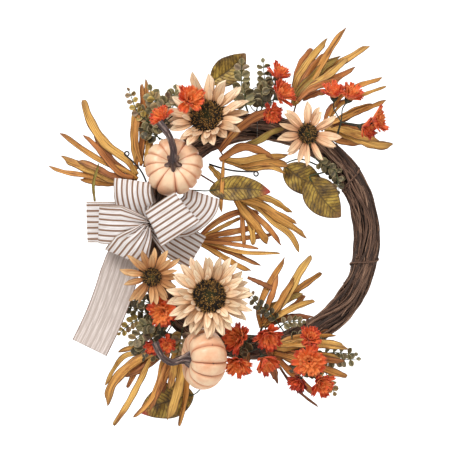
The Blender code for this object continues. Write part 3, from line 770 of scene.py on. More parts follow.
@dataclass(frozen=True)
class Finish:
    """What a piece is made of, and how its surface was made.

    Args:
        name: its common name.
        roughness: of its shader.
        metallic: of its shader.
        relief_mm: how deep its grain is.
        sheen: soft light at grazing angles, for cloth.
    """

    name: str
    roughness: float = 0.7
    metallic: float = 0.0
    relief_mm: float = 0.2
    sheen: float = 0.0

    def colour(self, board: Board) -> bpy.types.Node:
        """The node that gives the base colour."""
        raise NotImplementedError

    def grain(self, board: Board) -> bpy.types.Node:
        """The node that gives the height of the surface's grain, from 0 to 1."""
        raise NotImplementedError

    def material(self) -> bpy.types.Material:
        """The finish as a node material.

        Returns:
            The material.
        """
        made = bpy.data.materials.new(self.name)
        made.use_nodes = True
        board = Board(made.node_tree)
        shader = board.tree.nodes["Principled BSDF"]
        shader.inputs["Roughness"].default_value = self.roughness
        shader.inputs["Metallic"].default_value = self.metallic
        shader.inputs["Sheen Weight"].default_value = self.sheen
        relief = board.add("Bump", 0.8, self.relief_mm * MM)
        joins = [
            (self.colour(board), shader.inputs["Base Color"]),
            (self.grain(board), relief.inputs["Height"]),
            (relief, shader.inputs["Normal"]),
        ]
        for node, socket in joins:
            board.tree.links.new(next(output for output in node.outputs if output.enabled), socket)
        return made


@lru_cache(maxsize=None)
def material_of(finish: Finish) -> bpy.types.Material:
    """The one material of a finish."""
    return finish.material()


@dataclass(frozen=True)
class GrapevineBark(Finish):
    """Peeled, dried grapevine: stringy bark whose fibres run along the vine, pale where it has split."""

    name: str = "dried grapevine bark"
    roughness: float = 0.82
    relief_mm: float = 0.8
    fibre_mm: float = 0.9
    split_mm: float = 30.0
    dark: str = "#291c16"
    middle: str = "#775c4c"
    pale: str = "#d6b69e"

    def colour(self, board: Board) -> bpy.types.Node:
        """Fibres from dark to pale, each vine its own shade, with long split patches.

        Args:
            board: where its nodes go.

        Returns:
            The colour.
        """
        fibres = board.clouds(1 / self.fibre_mm, 1 / self.split_mm, 5.0)
        stops = [(0.34, self.dark), (0.5, self.middle), (0.69, self.pale)]
        shades = board.add("ValToRGB", fibres, stops=stops)
        own = board.add("ValToRGB", board.tone, stops=[(0.0, "#45362d"), (0.45, "#c0a795"), (1.0, "#fff6ea")])
        return board.add("Mix", 0.9, shades, own, data_type="RGBA", blend_type="MULTIPLY")

    def grain(self, board: Board) -> bpy.types.Node:
        """Fibres a millimetre apart."""
        return board.clouds(1 / self.fibre_mm, 0.5 / self.split_mm, 6.0)


@dataclass(frozen=True)
class DrawnWire(Finish):
    """Drawn wire, bare steel or wrapped in florist's tape, with the fine scratches of the die."""

    name: str = "annealed steel wire"
    roughness: float = 0.42
    metallic: float = 0.85
    relief_mm: float = 0.05
    pale: str = "#8d8a86"
    dark: str = "#4c4845"

    def colour(self, board: Board) -> bpy.types.Node:
        """Dull patches a few millimetres long."""
        return board.add("ValToRGB", board.clouds(0.6, 0.12), stops=[(0.3, self.dark), (0.7, self.pale)])

    def grain(self, board: Board) -> bpy.types.Node:
        """Scratches along the wire."""
        return board.clouds(4.0, 0.3)


@dataclass(frozen=True)
class DyedHusk(Finish):
    """Dyed corn husk: a matt fibrous strap with a vein each millimetre or so and browned margins, darkened further
    with painted shade.
    """

    name: str = "dyed corn husk"
    roughness: float = 0.6
    relief_mm: float = 0.5
    vein_mm: float = 1.5
    blotch_mm: float = 15.0

    def colour(self, board: Board) -> bpy.types.Node:
        """The leaf's own dye, streaked along, with lit and rusted zones, browned margins darkened with painted shade,
        and a browned tip.

        Args:
            board: where its nodes go.

        Returns:
            The colour.
        """
        dyes = [(0.0, "#744522"), (0.25, "#cc8245"), (0.5, "#e8a850"), (0.75, "#f3c266"), (1.0, "#9a8c3c")]
        base = board.add("ValToRGB", board.tone, stops=dyes)
        zones = board.clouds(1 / self.blotch_mm, 0.4 / self.blotch_mm, 3.0)
        rusted = board.over(base, "#aa6129", zones, 0.52, 0.7, 0.7)
        lit = board.over(rusted, "#f2c877", zones, 0.46, 0.3, 0.5)
        veins = board.clouds(1 / self.vein_mm, 0.2 / self.blotch_mm, 4.0)
        light = board.add("ValToRGB", veins, stops=[(0.33, "#5d4532"), (0.46, "#d6c7b6"), (0.62, "#ffffff")])
        streaked = board.add("Mix", 0.9, lit, light, data_type="RGBA", blend_type="MULTIPLY")
        # Browned margins, darkened further as painted shade of the folded and curled edges.
        rimmed = board.over(streaked, "#5a3013", board.edge, 0.68, 1.02, 0.9)
        return board.over(rimmed, "#6f4220", board.run, 0.82, 1.0, 0.5)

    def grain(self, board: Board) -> bpy.types.Node:
        """Veins along the leaf."""
        return board.clouds(1 / self.vein_mm, 0.02, 2.0)


@dataclass(frozen=True)
class EucalyptusCoat(Finish):
    """Moulded polyester eucalyptus leaf with a dusted, waxy bloom over its colour."""

    name: str = "dusted polyester leaf"
    roughness: float = 0.55
    relief_mm: float = 0.3

    def colour(self, board: Board) -> bpy.types.Node:
        """Dark green, sage, mauve-brown or yellow-green by the leaf, with painted shade in its cupped middle and a
        painted highlight along its rim.

        Args:
            board: where its nodes go.

        Returns:
            The colour.
        """
        kinds = [(0.0, "#3d3019"), (0.3, "#6e5e34"), (0.55, "#948a5e"), (0.75, "#886756"), (1.0, "#c6a44a")]
        base = board.add("ValToRGB", board.tone, stops=kinds)
        dusted = board.over(base, "#b8a983", board.clouds(0.2, 0.2, 4.0), 0.48, 0.8)
        # Painted shade: darker towards the cupped middle of the leaf.
        deep = board.over(dusted, "#2f301d", board.edge, 0.6, 0.1, 0.55)
        # Painted highlight: a pale rim along the margin.
        return board.over(deep, "#cbb98a", board.edge, 0.72, 1.0, 0.5)

    def grain(self, board: Board) -> bpy.types.Node:
        """The pressed weave of the leaf."""
        return board.clouds(0.8, 0.8)


@dataclass(frozen=True)
class MagnoliaPrint(Finish):
    """Latex-dipped cloth leaf: olive, printed with side veins, with a dyed tip and margin."""

    name: str = "latex-dipped cloth leaf"
    roughness: float = 0.5
    relief_mm: float = 0.7
    vein_mm: float = 6.0
    slope: float = 0.75
    tip: str = "#7a5426"

    def veins(self, board: Board) -> bpy.types.Node:
        """1 on a vein, 0 between: the place along, less the slope times how far out it is, folded.

        Args:
            board: where its nodes go.

        Returns:
            The share of ink.
        """
        place = board.add("SeparateXYZ", board.place).outputs
        out = board.add("Math", place[0], operation="ABSOLUTE")
        wander = board.add("Math", board.clouds(0.08, 0.08, 1.0), 6.0, place[1], operation="MULTIPLY_ADD")
        bent = board.add("Math", out, -self.slope, wander, operation="MULTIPLY_ADD")
        fold = board.add("Math", bent, self.vein_mm / 2, operation="PINGPONG")
        side, midrib = (
            board.add("MapRange", value, far, near, 0.0, 1.0, interpolation_type="SMOOTHSTEP")
            for value, far, near in ((fold, 1.05, 0.2), (out, 1.6, 0.6))
        )
        return board.add("Math", side, midrib, operation="MAXIMUM")

    def colour(self, board: Board) -> bpy.types.Node:
        """Olive clouds, dark veins, a browned margin and a dyed tip.

        Args:
            board: where its nodes go.

        Returns:
            The colour.
        """
        stops = [(0.34, "#4a340e"), (0.5, "#8a6a20"), (0.66, "#bb9a3e")]
        base = board.add("ValToRGB", board.clouds(0.07, 0.07, 5.0), stops=stops)
        ink = board.add("Math", self.veins(board), 0.7, operation="MULTIPLY")
        veined = board.add("Mix", ink, base, "#3a2a0e", data_type="RGBA")
        rimmed = board.over(veined, "#573822", board.edge, 0.84, 1.0, 0.7)
        return board.over(rimmed, self.tip, board.run, 0.8, 0.97)

    def grain(self, board: Board) -> bpy.types.Node:
        """Veins stand into the leaf."""
        return board.add("Math", 1.0, self.veins(board), operation="SUBTRACT")


@dataclass(frozen=True)
class ClothPetal(Finish):
    """Pressed polyester petal: pleated lengthways, airbrushed darker at its foot."""

    name: str = "cream cloth petal"
    roughness: float = 0.75
    relief_mm: float = 0.45
    sheen: float = 0.2
    foot: str = "#a86c40"
    middle: str = "#efc291"
    tip: str = "#fbe5c3"
    blush: str = "#e0a076"
    pleat_mm: float = 1.8

    def colour(self, board: Board) -> bpy.types.Node:
        """Foot, middle and tip colours along the petal, with streaks, a blush on some, and painted shade down its
        hollowed middle.

        Args:
            board: where its nodes go.

        Returns:
            The colour.
        """
        streaks = board.clouds(1 / self.pleat_mm, 0.05)
        centred = board.add("Math", streaks, 0.5, operation="SUBTRACT")
        along = board.add("Math", centred, 0.6, board.run, operation="MULTIPLY_ADD")
        base = board.add("ValToRGB", along, stops=[(0.0, self.foot), (0.3, self.middle), (0.85, self.tip)])
        blushed = board.over(base, self.blush, board.clouds(0.07, 0.07, 2.0), 0.44, 0.7, 0.4)
        # Painted shade: darker down the hollowed middle of each petal.
        midline_shaded = board.over(blushed, self.foot, board.edge, 0.14, 0.0, 0.6)
        rimmed = board.over(midline_shaded, self.foot, board.edge, 0.84, 1.0, 0.55)
        own = board.add("ValToRGB", board.tone, stops=[(0.0, "#cbbcac"), (0.6, "#ffffff")])
        return board.add("Mix", 1.0, rimmed, own, data_type="RGBA", blend_type="MULTIPLY")

    def grain(self, board: Board) -> bpy.types.Node:
        """Pressed pleats."""
        return board.clouds(1 / self.pleat_mm, 0.03, 2.0)


@dataclass(frozen=True)
class SeedFlock(Finish):
    """Flocked seed head: bristly scales, near black with tan tips, and greener in the middle."""

    name: str = "flocked seed head"
    roughness: float = 0.9
    relief_mm: float = 0.3
    middle: str = "#44431f"
    outer: str = "#1f1610"
    tips: str = "#bd8c48"

    def colour(self, board: Board) -> bpy.types.Node:
        """By how far out a seed sits, with every seed's own tip shade.

        Args:
            board: where its nodes go.

        Returns:
            The colour.
        """
        stops = [(0.15, self.middle), (0.5, "#35291a"), (0.9, self.outer)]
        base = board.add("ValToRGB", board.edge, stops=stops)
        bright = board.add("MapRange", board.tone, 0.35, 0.8, 0.0, 1.0, interpolation_type="SMOOTHSTEP")
        lit = board.add("Math", bright, board.run, operation="MULTIPLY")
        return board.add("Mix", lit, base, self.tips, data_type="RGBA")

    def grain(self, board: Board) -> bpy.types.Node:
        """Flock fibres, drawn half a millimetre apart so that they show."""
        return board.clouds(2.0, 2.0)


@dataclass(frozen=True)
class DaisyCloth(Finish):
    """Frayed polyester daisy petal, dyed orange from a yellower throat to red tips."""

    name: str = "orange cloth daisy"
    roughness: float = 0.7
    relief_mm: float = 0.3
    sheen: float = 0.15

    def colour(self, board: Board) -> bpy.types.Node:
        """Throat to tip, each petal its own tone, darker on the outer rings partly as painted shade, the brightest of
        them yellower, and painted shade down each petal's hollowed middle.

        Args:
            board: where its nodes go.

        Returns:
            The colour.
        """
        centred = board.add("Math", board.clouds(0.9, 0.1), 0.5, operation="SUBTRACT")
        along = board.add("Math", centred, 0.9, board.run, operation="MULTIPLY_ADD")
        stops = [(0.0, "#a53d16"), (0.28, "#f79a42"), (0.55, "#f67a33"), (0.95, "#e65a2a")]
        dyed = board.add("ValToRGB", along, stops=stops)
        bright = board.over(dyed, "#fbae55", board.tone, 0.75, 1.0, 0.4)
        own = board.add("ValToRGB", board.tone, stops=[(0.0, "#8a4538"), (0.35, "#dba08c"), (0.7, "#ffffff")])
        # Painted shade: darker down the hollowed middle of each petal.
        crease = board.over(bright, "#b8461d", board.edge, 0.2, 0.0, 0.5)
        return board.add("Mix", 1.0, crease, own, data_type="RGBA", blend_type="MULTIPLY")

    def grain(self, board: Board) -> bpy.types.Node:
        """Threads of the cloth."""
        return board.clouds(1.4, 0.1)


@dataclass(frozen=True)
class MouldedGreen(Finish):
    """Moulded polyethylene calyx or stem, dull green with a faint flow line."""

    name: str = "moulded green polyethylene"
    roughness: float = 0.5
    relief_mm: float = 0.2
    dark: str = "#2a3322"
    pale: str = "#5b6438"

    def colour(self, board: Board) -> bpy.types.Node:
        """Dark and pale flow marks along the stem."""
        return board.add("ValToRGB", board.clouds(0.5, 0.08), stops=[(0.35, self.dark), (0.7, self.pale)])

    def grain(self, board: Board) -> bpy.types.Node:
        """Shallow ribs."""
        return board.clouds(1.0, 0.05)


@dataclass(frozen=True)
class PumpkinSkin(Finish):
    """Painted foam pumpkin: cream and peach airbrushed by hand, satin, with painted shade darkening it towards its
    furrows.
    """

    name: str = "airbrushed foam"
    roughness: float = 0.36
    relief_mm: float = 0.5
    crown: str = "#f6d2ac"
    flank: str = "#ebb088"
    shade: str = "#d98f66"
    furrow: str = "#9a4d2a"
    cloud_mm: float = 28.0
    pore_mm: float = 2.2

    def colour(self, board: Board) -> bpy.types.Node:
        """Cream and peach clouds, painted shade deepening towards each furrow, a thin browned line down each furrow,
        and pores.

        Args:
            board: where its nodes go.

        Returns:
            The colour.
        """
        clouds = board.add("TexNoise", board.solid, 1000 / self.cloud_mm, 4.0, 0.55)
        crest = board.add("ValToRGB", clouds, stops=[(0.36, self.flank), (0.6, self.crown)])
        # Painted shade: the shade colour deepens from the flanks into each furrow, broken up by the clouds.
        centred = board.add("Math", clouds, 0.5, operation="SUBTRACT")
        depth = board.add("Math", centred, 0.6, board.edge, operation="MULTIPLY_ADD")
        furrow_shaded = board.over(crest, self.shade, depth, 0.05, 0.8, 0.75)
        lined = board.over(furrow_shaded, self.furrow, board.edge, 0.62, 0.95, 0.85)
        pores = board.add("TexNoise", board.solid, 1000 / self.pore_mm, 2.0)
        return board.over(lined, "#b88a5e", pores, 0.66, 0.78, 0.35)

    def grain(self, board: Board) -> bpy.types.Node:
        """Shallow waves of the cast foam, a centimetre apart, with finer ones on them."""
        return board.add("TexNoise", board.solid, 1000 * 0.1, 6.0)


@dataclass(frozen=True)
class PumpkinStemBark(Finish):
    """Painted foam stem: purple-brown ridges dry-brushed with a paler grey, with painted shade in the grooves, under
    satin varnish.
    """

    name: str = "dry-brushed foam stem"
    roughness: float = 0.34
    relief_mm: float = 0.9

    def colour(self, board: Board) -> bpy.types.Node:
        """Dark and pale patches, and painted shade darkening the grooves between the ridges.

        Args:
            board: where its nodes go.

        Returns:
            The colour.
        """
        stops = [(0.34, "#281718"), (0.5, "#4f3634"), (0.68, "#b39b8d")]
        base = board.add("ValToRGB", board.clouds(0.5, 0.05, 4.0), stops=stops)
        # Painted shade: darker into the grooves between the ridges.
        return board.over(base, "#231516", board.edge, 0.3, 1.0, 0.75)

    def grain(self, board: Board) -> bpy.types.Node:
        """Long ridges."""
        return board.clouds(0.8, 0.06, 4.0)


@dataclass(frozen=True)
class StripedCotton(Finish):
    """Wired ribbon of woven cotton: ticking stripes in the warp, and a plain selvedge."""

    name: str = "striped cotton ribbon"
    roughness: float = 0.85
    relief_mm: float = 0.25
    sheen: float = 0.15
    ground: str = "#f3edeb"
    slub: str = "#d2c7c1"
    stripe: str = "#8a674f"
    edge: str = "#9a7a5c"
    width_mm: float = 63.5
    pitch_mm: float = 8.8
    stripe_mm: float = 3.0
    thread_mm: float = 0.9  # real threads are 0.4 mm apart, too fine to show

    def colour(self, board: Board) -> bpy.types.Node:
        """Stripes on the ground, each thread a little lighter or darker.

        A stripe is where the place across, folded at half the pitch, is under half a stripe's width.

        Args:
            board: where its nodes go.

        Returns:
            The colour.
        """
        slubs = board.clouds(1 / self.thread_mm, 0.04, 2.0)
        ground = board.add("ValToRGB", slubs, stops=[(0.34, self.slub), (0.62, self.ground)])
        across = board.add("SeparateXYZ", board.flat).outputs[0]
        fold = board.add("Math", across, self.pitch_mm / 2, operation="PINGPONG")
        half = self.stripe_mm / 2
        striped = board.over(ground, self.stripe, fold, half + 0.3, half - 0.3)
        out = board.add("Math", across, operation="ABSOLUTE")
        hem = self.width_mm / 2 - 1.5
        return board.over(striped, self.edge, out, hem - 0.4, hem + 0.4, 0.85)

    def grain(self, board: Board) -> bpy.types.Node:
        """Plain weave: a crossed pair of sines, one thread each half wave.

        Args:
            board: where its nodes go.

        Returns:
            The height.
        """
        turn = math.pi / self.thread_mm
        sized = board.add("VectorMath", board.flat, (turn, turn, 0.0), operation="MULTIPLY")
        axes = board.add("SeparateXYZ", sized).outputs
        warp, weft = (board.add("Math", axis, operation="SINE") for axis in (axes[0], axes[1]))
        crossed = board.add("Math", warp, weft, operation="MULTIPLY")
        return board.add("Math", crossed, 0.5, 0.5, operation="MULTIPLY_ADD")


@dataclass(frozen=True)
class CottonReverse(StripedCotton):
    """The ribbon's wrong side, where the stripes show only as a tint."""

    name: str = "cotton ribbon reverse"
    ground: str = "#e6d9d2"
    slub: str = "#bcaca3"
    stripe: str = "#c2b2a8"
    edge: str = "#80604a"


@dataclass(frozen=True)
class StudioPaper(Finish):
    """Matt white background paper."""

    name: str = "background paper"
    roughness: float = 0.9
    relief_mm: float = 0.02
    glow: float = 0.0

    def colour(self, board: Board) -> bpy.types.Node:
        """Near white, with faint fibres."""
        return board.add("ValToRGB", self.grain(board), stops=[(0.0, "#f4f3f1"), (1.0, "#fbfbfa")])

    def grain(self, board: Board) -> bpy.types.Node:
        """Paper fibres."""
        return board.add("TexNoise", board.solid, 1.0, 3.0)

    def material(self) -> bpy.types.Material:
        """Paper, lit from behind where it glows.

        Returns:
            The material.
        """
        made = super().material()
        shader = made.node_tree.nodes["Principled BSDF"]
        shader.inputs["Emission Color"].default_value = WHITE
        shader.inputs["Emission Strength"].default_value = self.glow
        return made


# ---------------------------------------------------------------- the vine ring and its hanger


@dataclass
class VineRing:
    """A bundle of grapevines bent into a ring, with a few vines wound across it to bind it.

    Args:
        shop: makes the pieces.
        radius: to the bundle's middle.
        reach: from the bundle's middle to the middle of its outer vines.
        depth: from the door to the bundle's middle.
        outer: how many vines lie on the outside, in three layers.
        heart: how many fat vines fill the middle.
        seed: of the vines' own bends.
        bark: the vines' finish.
    """

    shop: Workshop
    radius: float = RING_RADIUS
    reach: float = 16.2
    depth: float = RING_DEPTH
    outer: int = 64
    heart: int = 7
    seed: int = 7
    bark: Finish = GrapevineBark()

    def places(
        self, along: np.ndarray, out: np.ndarray, turn: np.ndarray | float, clear: np.ndarray | float = 0.0
    ) -> np.ndarray:
        """Bench places by an angle round the ring and an angle round the bundle's middle.

        Args:
            along: angle round the ring.
            out: from the bundle's middle.
            turn: angle about it, from the front.
            clear: the least height off the door.

        Returns:
            (rows, 3) places.
        """
        reach = self.radius + out * np.sin(turn)
        lift = np.maximum(self.depth + out * np.cos(turn), clear)
        return np.stack([reach * np.cos(along), reach * np.sin(along), lift], axis=-1)

    def vine(
        self,
        rng: np.random.Generator,
        slot: float,
        orbit: float,
        thick: float,
        sweep: float,
        shade: float = 1.0,
    ) -> Stack:
        """One vine: it runs round the ring while it turns slowly about the bundle's middle.

        Its place in the section is orbit times (sin, cos) of an angle that starts at slot, drifts with
        the ring's angle and wanders by two slow waves. It is held off the door by its own radius.

        Args:
            rng: draws the small differences.
            slot: angle about the bundle that it starts at.
            orbit: from the bundle's middle.
            thick: radius of the vine.
            sweep: angle that it runs round the ring.
            shade: share of the full range of tones, from the darkest; the heart and core take a tenth of it, painted
                shade in the gaps between the outer vines.

        Returns:
            The vine.
        """
        rows = int(sweep * 34)
        start = rng.uniform(0, 2 * math.pi)
        along = np.linspace(start, start + sweep, rows)
        wander = 0.42 * np.sin(3 * along + rng.uniform(0, 6)) + 0.2 * np.sin(8 * along + rng.uniform(0, 6))
        turn = slot + 0.55 * (along - start) + wander
        out = orbit * (1 + 0.12 * np.sin(5 * along + rng.uniform(0, 6)) + rng.uniform(-0.05, 0.07))
        out = out + 0.7 * np.sin(17 * along + rng.uniform(0, 6))
        share = np.linspace(0, 1, rows)
        taper = np.clip(np.minimum(share, 1 - share) * 18, 0.35, 1.0)
        knots = 1 + 0.12 * np.sin(along * rng.uniform(18, 30)) ** 8 + 0.06 * np.sin(along * 41)
        girth = thick * taper * knots
        path = self.places(along, out, turn, girth + 0.4)
        sides = 8
        ridge = np.linspace(0, 2 * math.pi, sides, endpoint=False)
        knurl = 0.10 * np.sin(3 * ridge[None, :] + 3 * along[:, None] + rng.uniform(0, 6))
        return tube(path, girth, sides, tone=shade * float(rng.uniform(0.05, 0.95)), knurl=knurl)

    def binder(self, rng: np.random.Generator, start: float, drift: float, turns: float) -> Stack:
        """A vine wound across the bundle: turns about its middle while it drifts round the ring.

        Args:
            rng: draws the small differences.
            start: angle round the ring.
            drift: how far it moves on.
            turns: round the bundle.

        Returns:
            The vine.
        """
        share = np.linspace(0, 1, 72)
        turn = -0.75 * math.pi + turns * 2 * math.pi * share
        along = start + drift * share
        out = self.reach + 3.6 + 0.6 * np.sin(9 * share + rng.uniform(0, 6))
        girth = 1.6 * np.clip(np.minimum(share, 1 - share) * 14, 0.4, 1.0)
        path = self.places(along, out, turn, girth + 0.3)
        ahead = np.stack([-np.sin(along), np.cos(along), 0 * along], axis=-1)
        return tube(path, girth, 8, ahead, float(rng.uniform(0.2, 0.7)))

    def knot(self, place: Place, size: float) -> Stack:
        """A knuckle of bark where a side shoot was cut: a lumpy closed ball.

        Args:
            place: its middle on the bench.
            size: its radius.

        Returns:
            The knuckle.
        """
        ball = turned(np.sin(np.linspace(0.12, math.pi - 0.12, 9)), -np.cos(np.linspace(0, math.pi, 9)), 12)
        lumps = 1 + 0.12 * np.sin(5 * ball[..., :1] + 3) + 0.1 * np.sin(6 * ball[..., 1:2])
        frame = np.eye(3)[None]
        return scatter(ball * lumps, np.full((1, 3), size), np.array([place]), frame, np.array([0.3]))

    def shoot(self, rng: np.random.Generator, angle: float) -> Stack:
        """The stub of a side shoot: it leaves the bundle's outside and leans along the ring.

        Args:
            rng: draws the small differences.
            angle: round the ring.

        Returns:
            The stub.
        """
        share = np.linspace(0, 1, 7)
        side = rng.uniform(0.2, 1.3) * rng.choice([1.0, 1.0, -1.0])
        out = self.reach + 1.0 + rng.uniform(2.5, 5.5) * share
        along = angle + rng.uniform(0.05, 0.12) * share * rng.choice([1.0, -1.0])
        path = self.places(along, out, side)
        return tube(path, np.linspace(1.1, 0.6, 7), 6, FRONT + 0.1, float(rng.uniform(0.1, 0.9)))

    def build(self) -> None:
        """Makes the heart, and three layers of outer vines with their binders, shoots and knuckles."""
        rng = np.random.default_rng(self.seed)
        # The heart and core vines keep to the darkest tenth of the tones: painted shade in the gaps between the outer
        # vines.
        hearts = [
            self.vine(rng, 2 * math.pi * k / (self.heart - 1), 0.0 if k == 0 else 9.5, 5.6, 2 * math.pi, 0.1)
            for k in range(self.heart)
        ]
        core = [
            self.vine(rng, 2 * math.pi * k / 10, 13.2, 3.4, 2 * math.pi + 0.1, 0.1) for k in range(10)
        ]
        self.shop.piece("vine_heart", hearts + core, self.bark, "vine", ["core_vines"])
        layers = [[], [], []]
        for number in range(self.outer):
            slot = 2 * math.pi * number / self.outer + rng.uniform(-0.1, 0.1)
            thick = rng.choice([1.0, 1.3, 1.7, 2.5]) * rng.uniform(0.85, 1.1)
            sweep = rng.uniform(3.6, 6.2)
            layers[number % 3].append(self.vine(rng, slot, self.reach, thick, sweep))
        layers[0] += [self.binder(rng, -0.30, 0.16, 0.85), self.binder(rng, 2.6, 0.2, 0.8)]
        layers[1] += [self.binder(rng, 0.47, 0.16, 0.8), self.binder(rng, -1.0, -0.2, 0.9)]
        layers[1] += [self.shoot(rng, angle) for angle in np.linspace(-1.2, 1.9, 34)]
        layers[2] += [self.knot((154.4, -28.6, 31.0), 4.2), self.knot((130.0, 94.0, 34.0), 3.2)]
        for number, layer in enumerate(layers, 1):
            name = f"outer_vine_{number}"
            self.shop.piece(f"vines_{number}", layer, self.bark, "vine", [name])


@dataclass
class Hanger:
    """A wire band round the top of the bundle with an eye, and the loop that swings in the eye.

    Args:
        shop: makes the pieces.
        wire: radius of the wire.
        orbit: from the bundle's middle to the band.
        eye: radius of the eye.
        eye_place: the eye's middle on the bench.
        loop_half: the loop's width and height, halved.
        lean: of the loop from plumb towards the door.
        steel: the wire's finish.
    """

    shop: Workshop
    wire: float = 0.8
    orbit: float = 20.6
    eye: float = 3.8
    eye_place: Place = (0.0, 194.9, 7.0)
    loop_half: tuple[float, float] = (12.0, 19.0)
    lean: float = math.radians(6.0)
    steel: Finish = DrawnWire()

    def closed(self, path: np.ndarray, reference: np.ndarray) -> Stack:
        """A wire on a closed path: circles square to it, whose last leads to the first.

        Args:
            path: (rows, 3) places, the last a step before the first.
            reference: square to the path's plane.

        Returns:
            The wire.
        """
        along = unit(np.roll(path, -1, axis=0) - np.roll(path, 1, axis=0))
        side = unit(np.cross(along, unit(reference)))
        turn = np.linspace(0, 2 * math.pi, 10, endpoint=False)[None, :, None]
        spokes = np.cos(turn) * side[:, None] + np.sin(turn) * np.cross(along, side)[:, None]
        made = tube(path, self.wire, 10, reference)
        made.points = (path[:, None] + self.wire * spokes)[None]
        made.ring = True
        made.uv = np.concatenate([made.uv, made.uv[:, -1:]], axis=1)
        return made

    def oval(self, centre: np.ndarray, side: np.ndarray, up: np.ndarray) -> Stack:
        """A closed oval of wire: centre plus side times cosine and up times sine."""
        turn = np.linspace(0, 2 * math.pi, 64, endpoint=False)[:, None]
        return self.closed(centre + np.cos(turn) * side + np.sin(turn) * up, np.cross(side, up))

    def band(self) -> Stack:
        """Round the bundle's front on an arc and flat across its back, in the plane above the centre.

        Returns:
            The band.
        """
        turn = np.radians(np.linspace(-90, 90, 40))
        arc = np.stack([self.orbit * np.sin(turn), RING_DEPTH + self.orbit * np.cos(turn)], axis=-1)
        back = smooth_path([(20.6, 10, 0), (19.5, 4, 0), (14, 1.4, 0), (0, 1.4, 0), (-14, 1.4, 0),
                            (-19.5, 4, 0), (-20.6, 10, 0)], 40)[:, :2]
        section = np.concatenate([arc, back])
        path = np.stack([0 * section[:, 0], RING_RADIUS + section[:, 0], section[:, 1]], axis=-1)
        return self.closed(path, np.array([1.0, 0.0, 0.0]))

    def build(self) -> None:
        """Makes the band with its eye, and the loop on its own body."""
        eye = np.array(self.eye_place)
        ring = self.oval(eye, np.array([0, 0, self.eye]), np.array([0, self.eye, 0]))
        self.shop.piece("hanger_wire", [self.band(), ring], self.steel, "wire", ["hanger_band"])
        up = np.array([0.0, math.cos(self.lean), math.sin(-self.lean)])
        half_width, half_height = self.loop_half
        loop = self.oval(eye + half_height * up, np.array([half_width, 0, 0]), half_height * up)
        self.shop.piece("hanging_wire", [loop], self.steel, "wire", ["hanging_loop"], "hanging_loop")


# ---------------------------------------------------------------- leaves


class Dye(Enum):
    """Dye baths of the husk leaves: places on the husk's colour ramp."""

    BARK = 0.08
    RUST = 0.27
    OCHRE = 0.5
    GOLD = 0.72
    OLIVE = 0.97


@dataclass(frozen=True)
class Blade:
    """One strap leaf.

    Args:
        route: its middle line on the bench, right and up, from root to tip.
        width: at its widest.
        depth: from the door at root and tip.
        dye: its colour.
    """

    route: tuple[tuple[float, float], ...]
    width: float
    depth: tuple[float, float]
    dye: Dye = Dye.OCHRE


@dataclass
class HuskSpray:
    """Strap leaves on a taped wire.

    Args:
        shop: makes the piece.
        name: the node's name without its first words.
        stem: the wire's two ends.
        blades: its leaves.
        fullness: how much wider its leaves are than their seen width, because they lie turned.
        finish: of the leaves and the wire.
    """

    shop: Workshop
    name: str
    stem: tuple[Place, Place]
    blades: Sequence[Blade]
    fullness: float = 1.25
    finish: Finish = DyedHusk()

    def leaf(self, blade: Blade, rng: np.random.Generator) -> Stack:
        """A strap that widens from its root, folds along its vein, twists, and ends in a torn slant.

        Args:
            blade: its route and sizes.
            rng: draws the small differences.

        Returns:
            The leaf.
        """
        rows, columns = 40, 7
        share = np.linspace(0, 1, len(blade.route))
        depth = np.interp(share, [0, 1], blade.depth) + 3.0 * np.sin(math.pi * share)
        path = smooth_path([(x, z, d) for (x, z), d in zip(blade.route, depth)], rows)
        s = np.linspace(0, 1, rows)
        sway = rng.uniform(-1.3, 1.3) * np.sin(2 * math.pi * s * rng.uniform(0.7, 1.4))
        path[:, 2] += sway
        outline = np.interp(s, [0, 0.12, 0.35, 0.7, 0.9, 0.97, 1.0], [0.5, 0.62, 0.88, 1.0, 0.9, 0.74, 0.4])
        ragged = 1 + 0.07 * np.sin(s * rng.uniform(20, 34) + rng.uniform(0, 6))
        torn = rng.uniform(0.55, 1.0, 2) ** s[:, None] ** 3
        half = 0.5 * self.fullness * blade.width * (outline * ragged)[:, None] * torn
        u = np.linspace(-1, 1, columns)
        fold = rng.uniform(0.12, 0.5) * rng.choice([1.0, 1.0, -1.0])
        lift = fold * half[:, :1] * (np.abs(u) - 0.5) * (1 - 0.5 * s[:, None])
        pleats = 0.22 * np.sin(u * rng.uniform(7, 10) + 0.7 * np.sin(5 * s)[:, None])
        margin = 0.5 * np.sin(s * rng.uniform(14, 26) + rng.uniform(0, 6))[:, None] * u**2 * np.sign(u)
        roll = rng.uniform(-0.3, 0.3) + rng.uniform(-0.5, 0.5) * s + 0.2 * np.sin(6 * s)
        tone = float(np.clip(blade.dye.value + rng.uniform(-0.07, 0.07), 0.0, 1.0))
        made = strip(path, half, FRONT, columns, roll, lift + pleats + margin, tone)
        slant = rng.uniform(-0.5, 0.5) * blade.width * np.linspace(0.25, 1.0, 4)[:, None, None]
        made.points[0, -4:] += slant * u[:, None] * unit(path[-1] - path[-4])
        return made

    def wire(self) -> Stack:
        """The stem: a straight rod of taped wire that tapers to the leaves.

        Returns:
            The stem.
        """
        start, end = (np.array(place) for place in self.stem)
        reach = start + np.linspace(0, 1, 8)[:, None] * (end - start)
        return tube(reach, np.linspace(1.5, 1.1, 8), 8, tone=0.05)

    def build(self) -> None:
        """Makes every leaf and the wire."""
        rng = np.random.default_rng(sum(map(ord, self.name)))
        leaves = [self.leaf(blade, rng) for blade in self.blades]
        node = f"husk_spray_{self.name}"
        made = self.shop.piece(f"husk_{self.name}", leaves, self.finish, "husk_leaf", [node], thick=0.45)
        stem = self.shop.piece(f"husk_wire_{self.name}", [self.wire()], self.finish, "husk_leaf", body=None)
        stem.parent = made


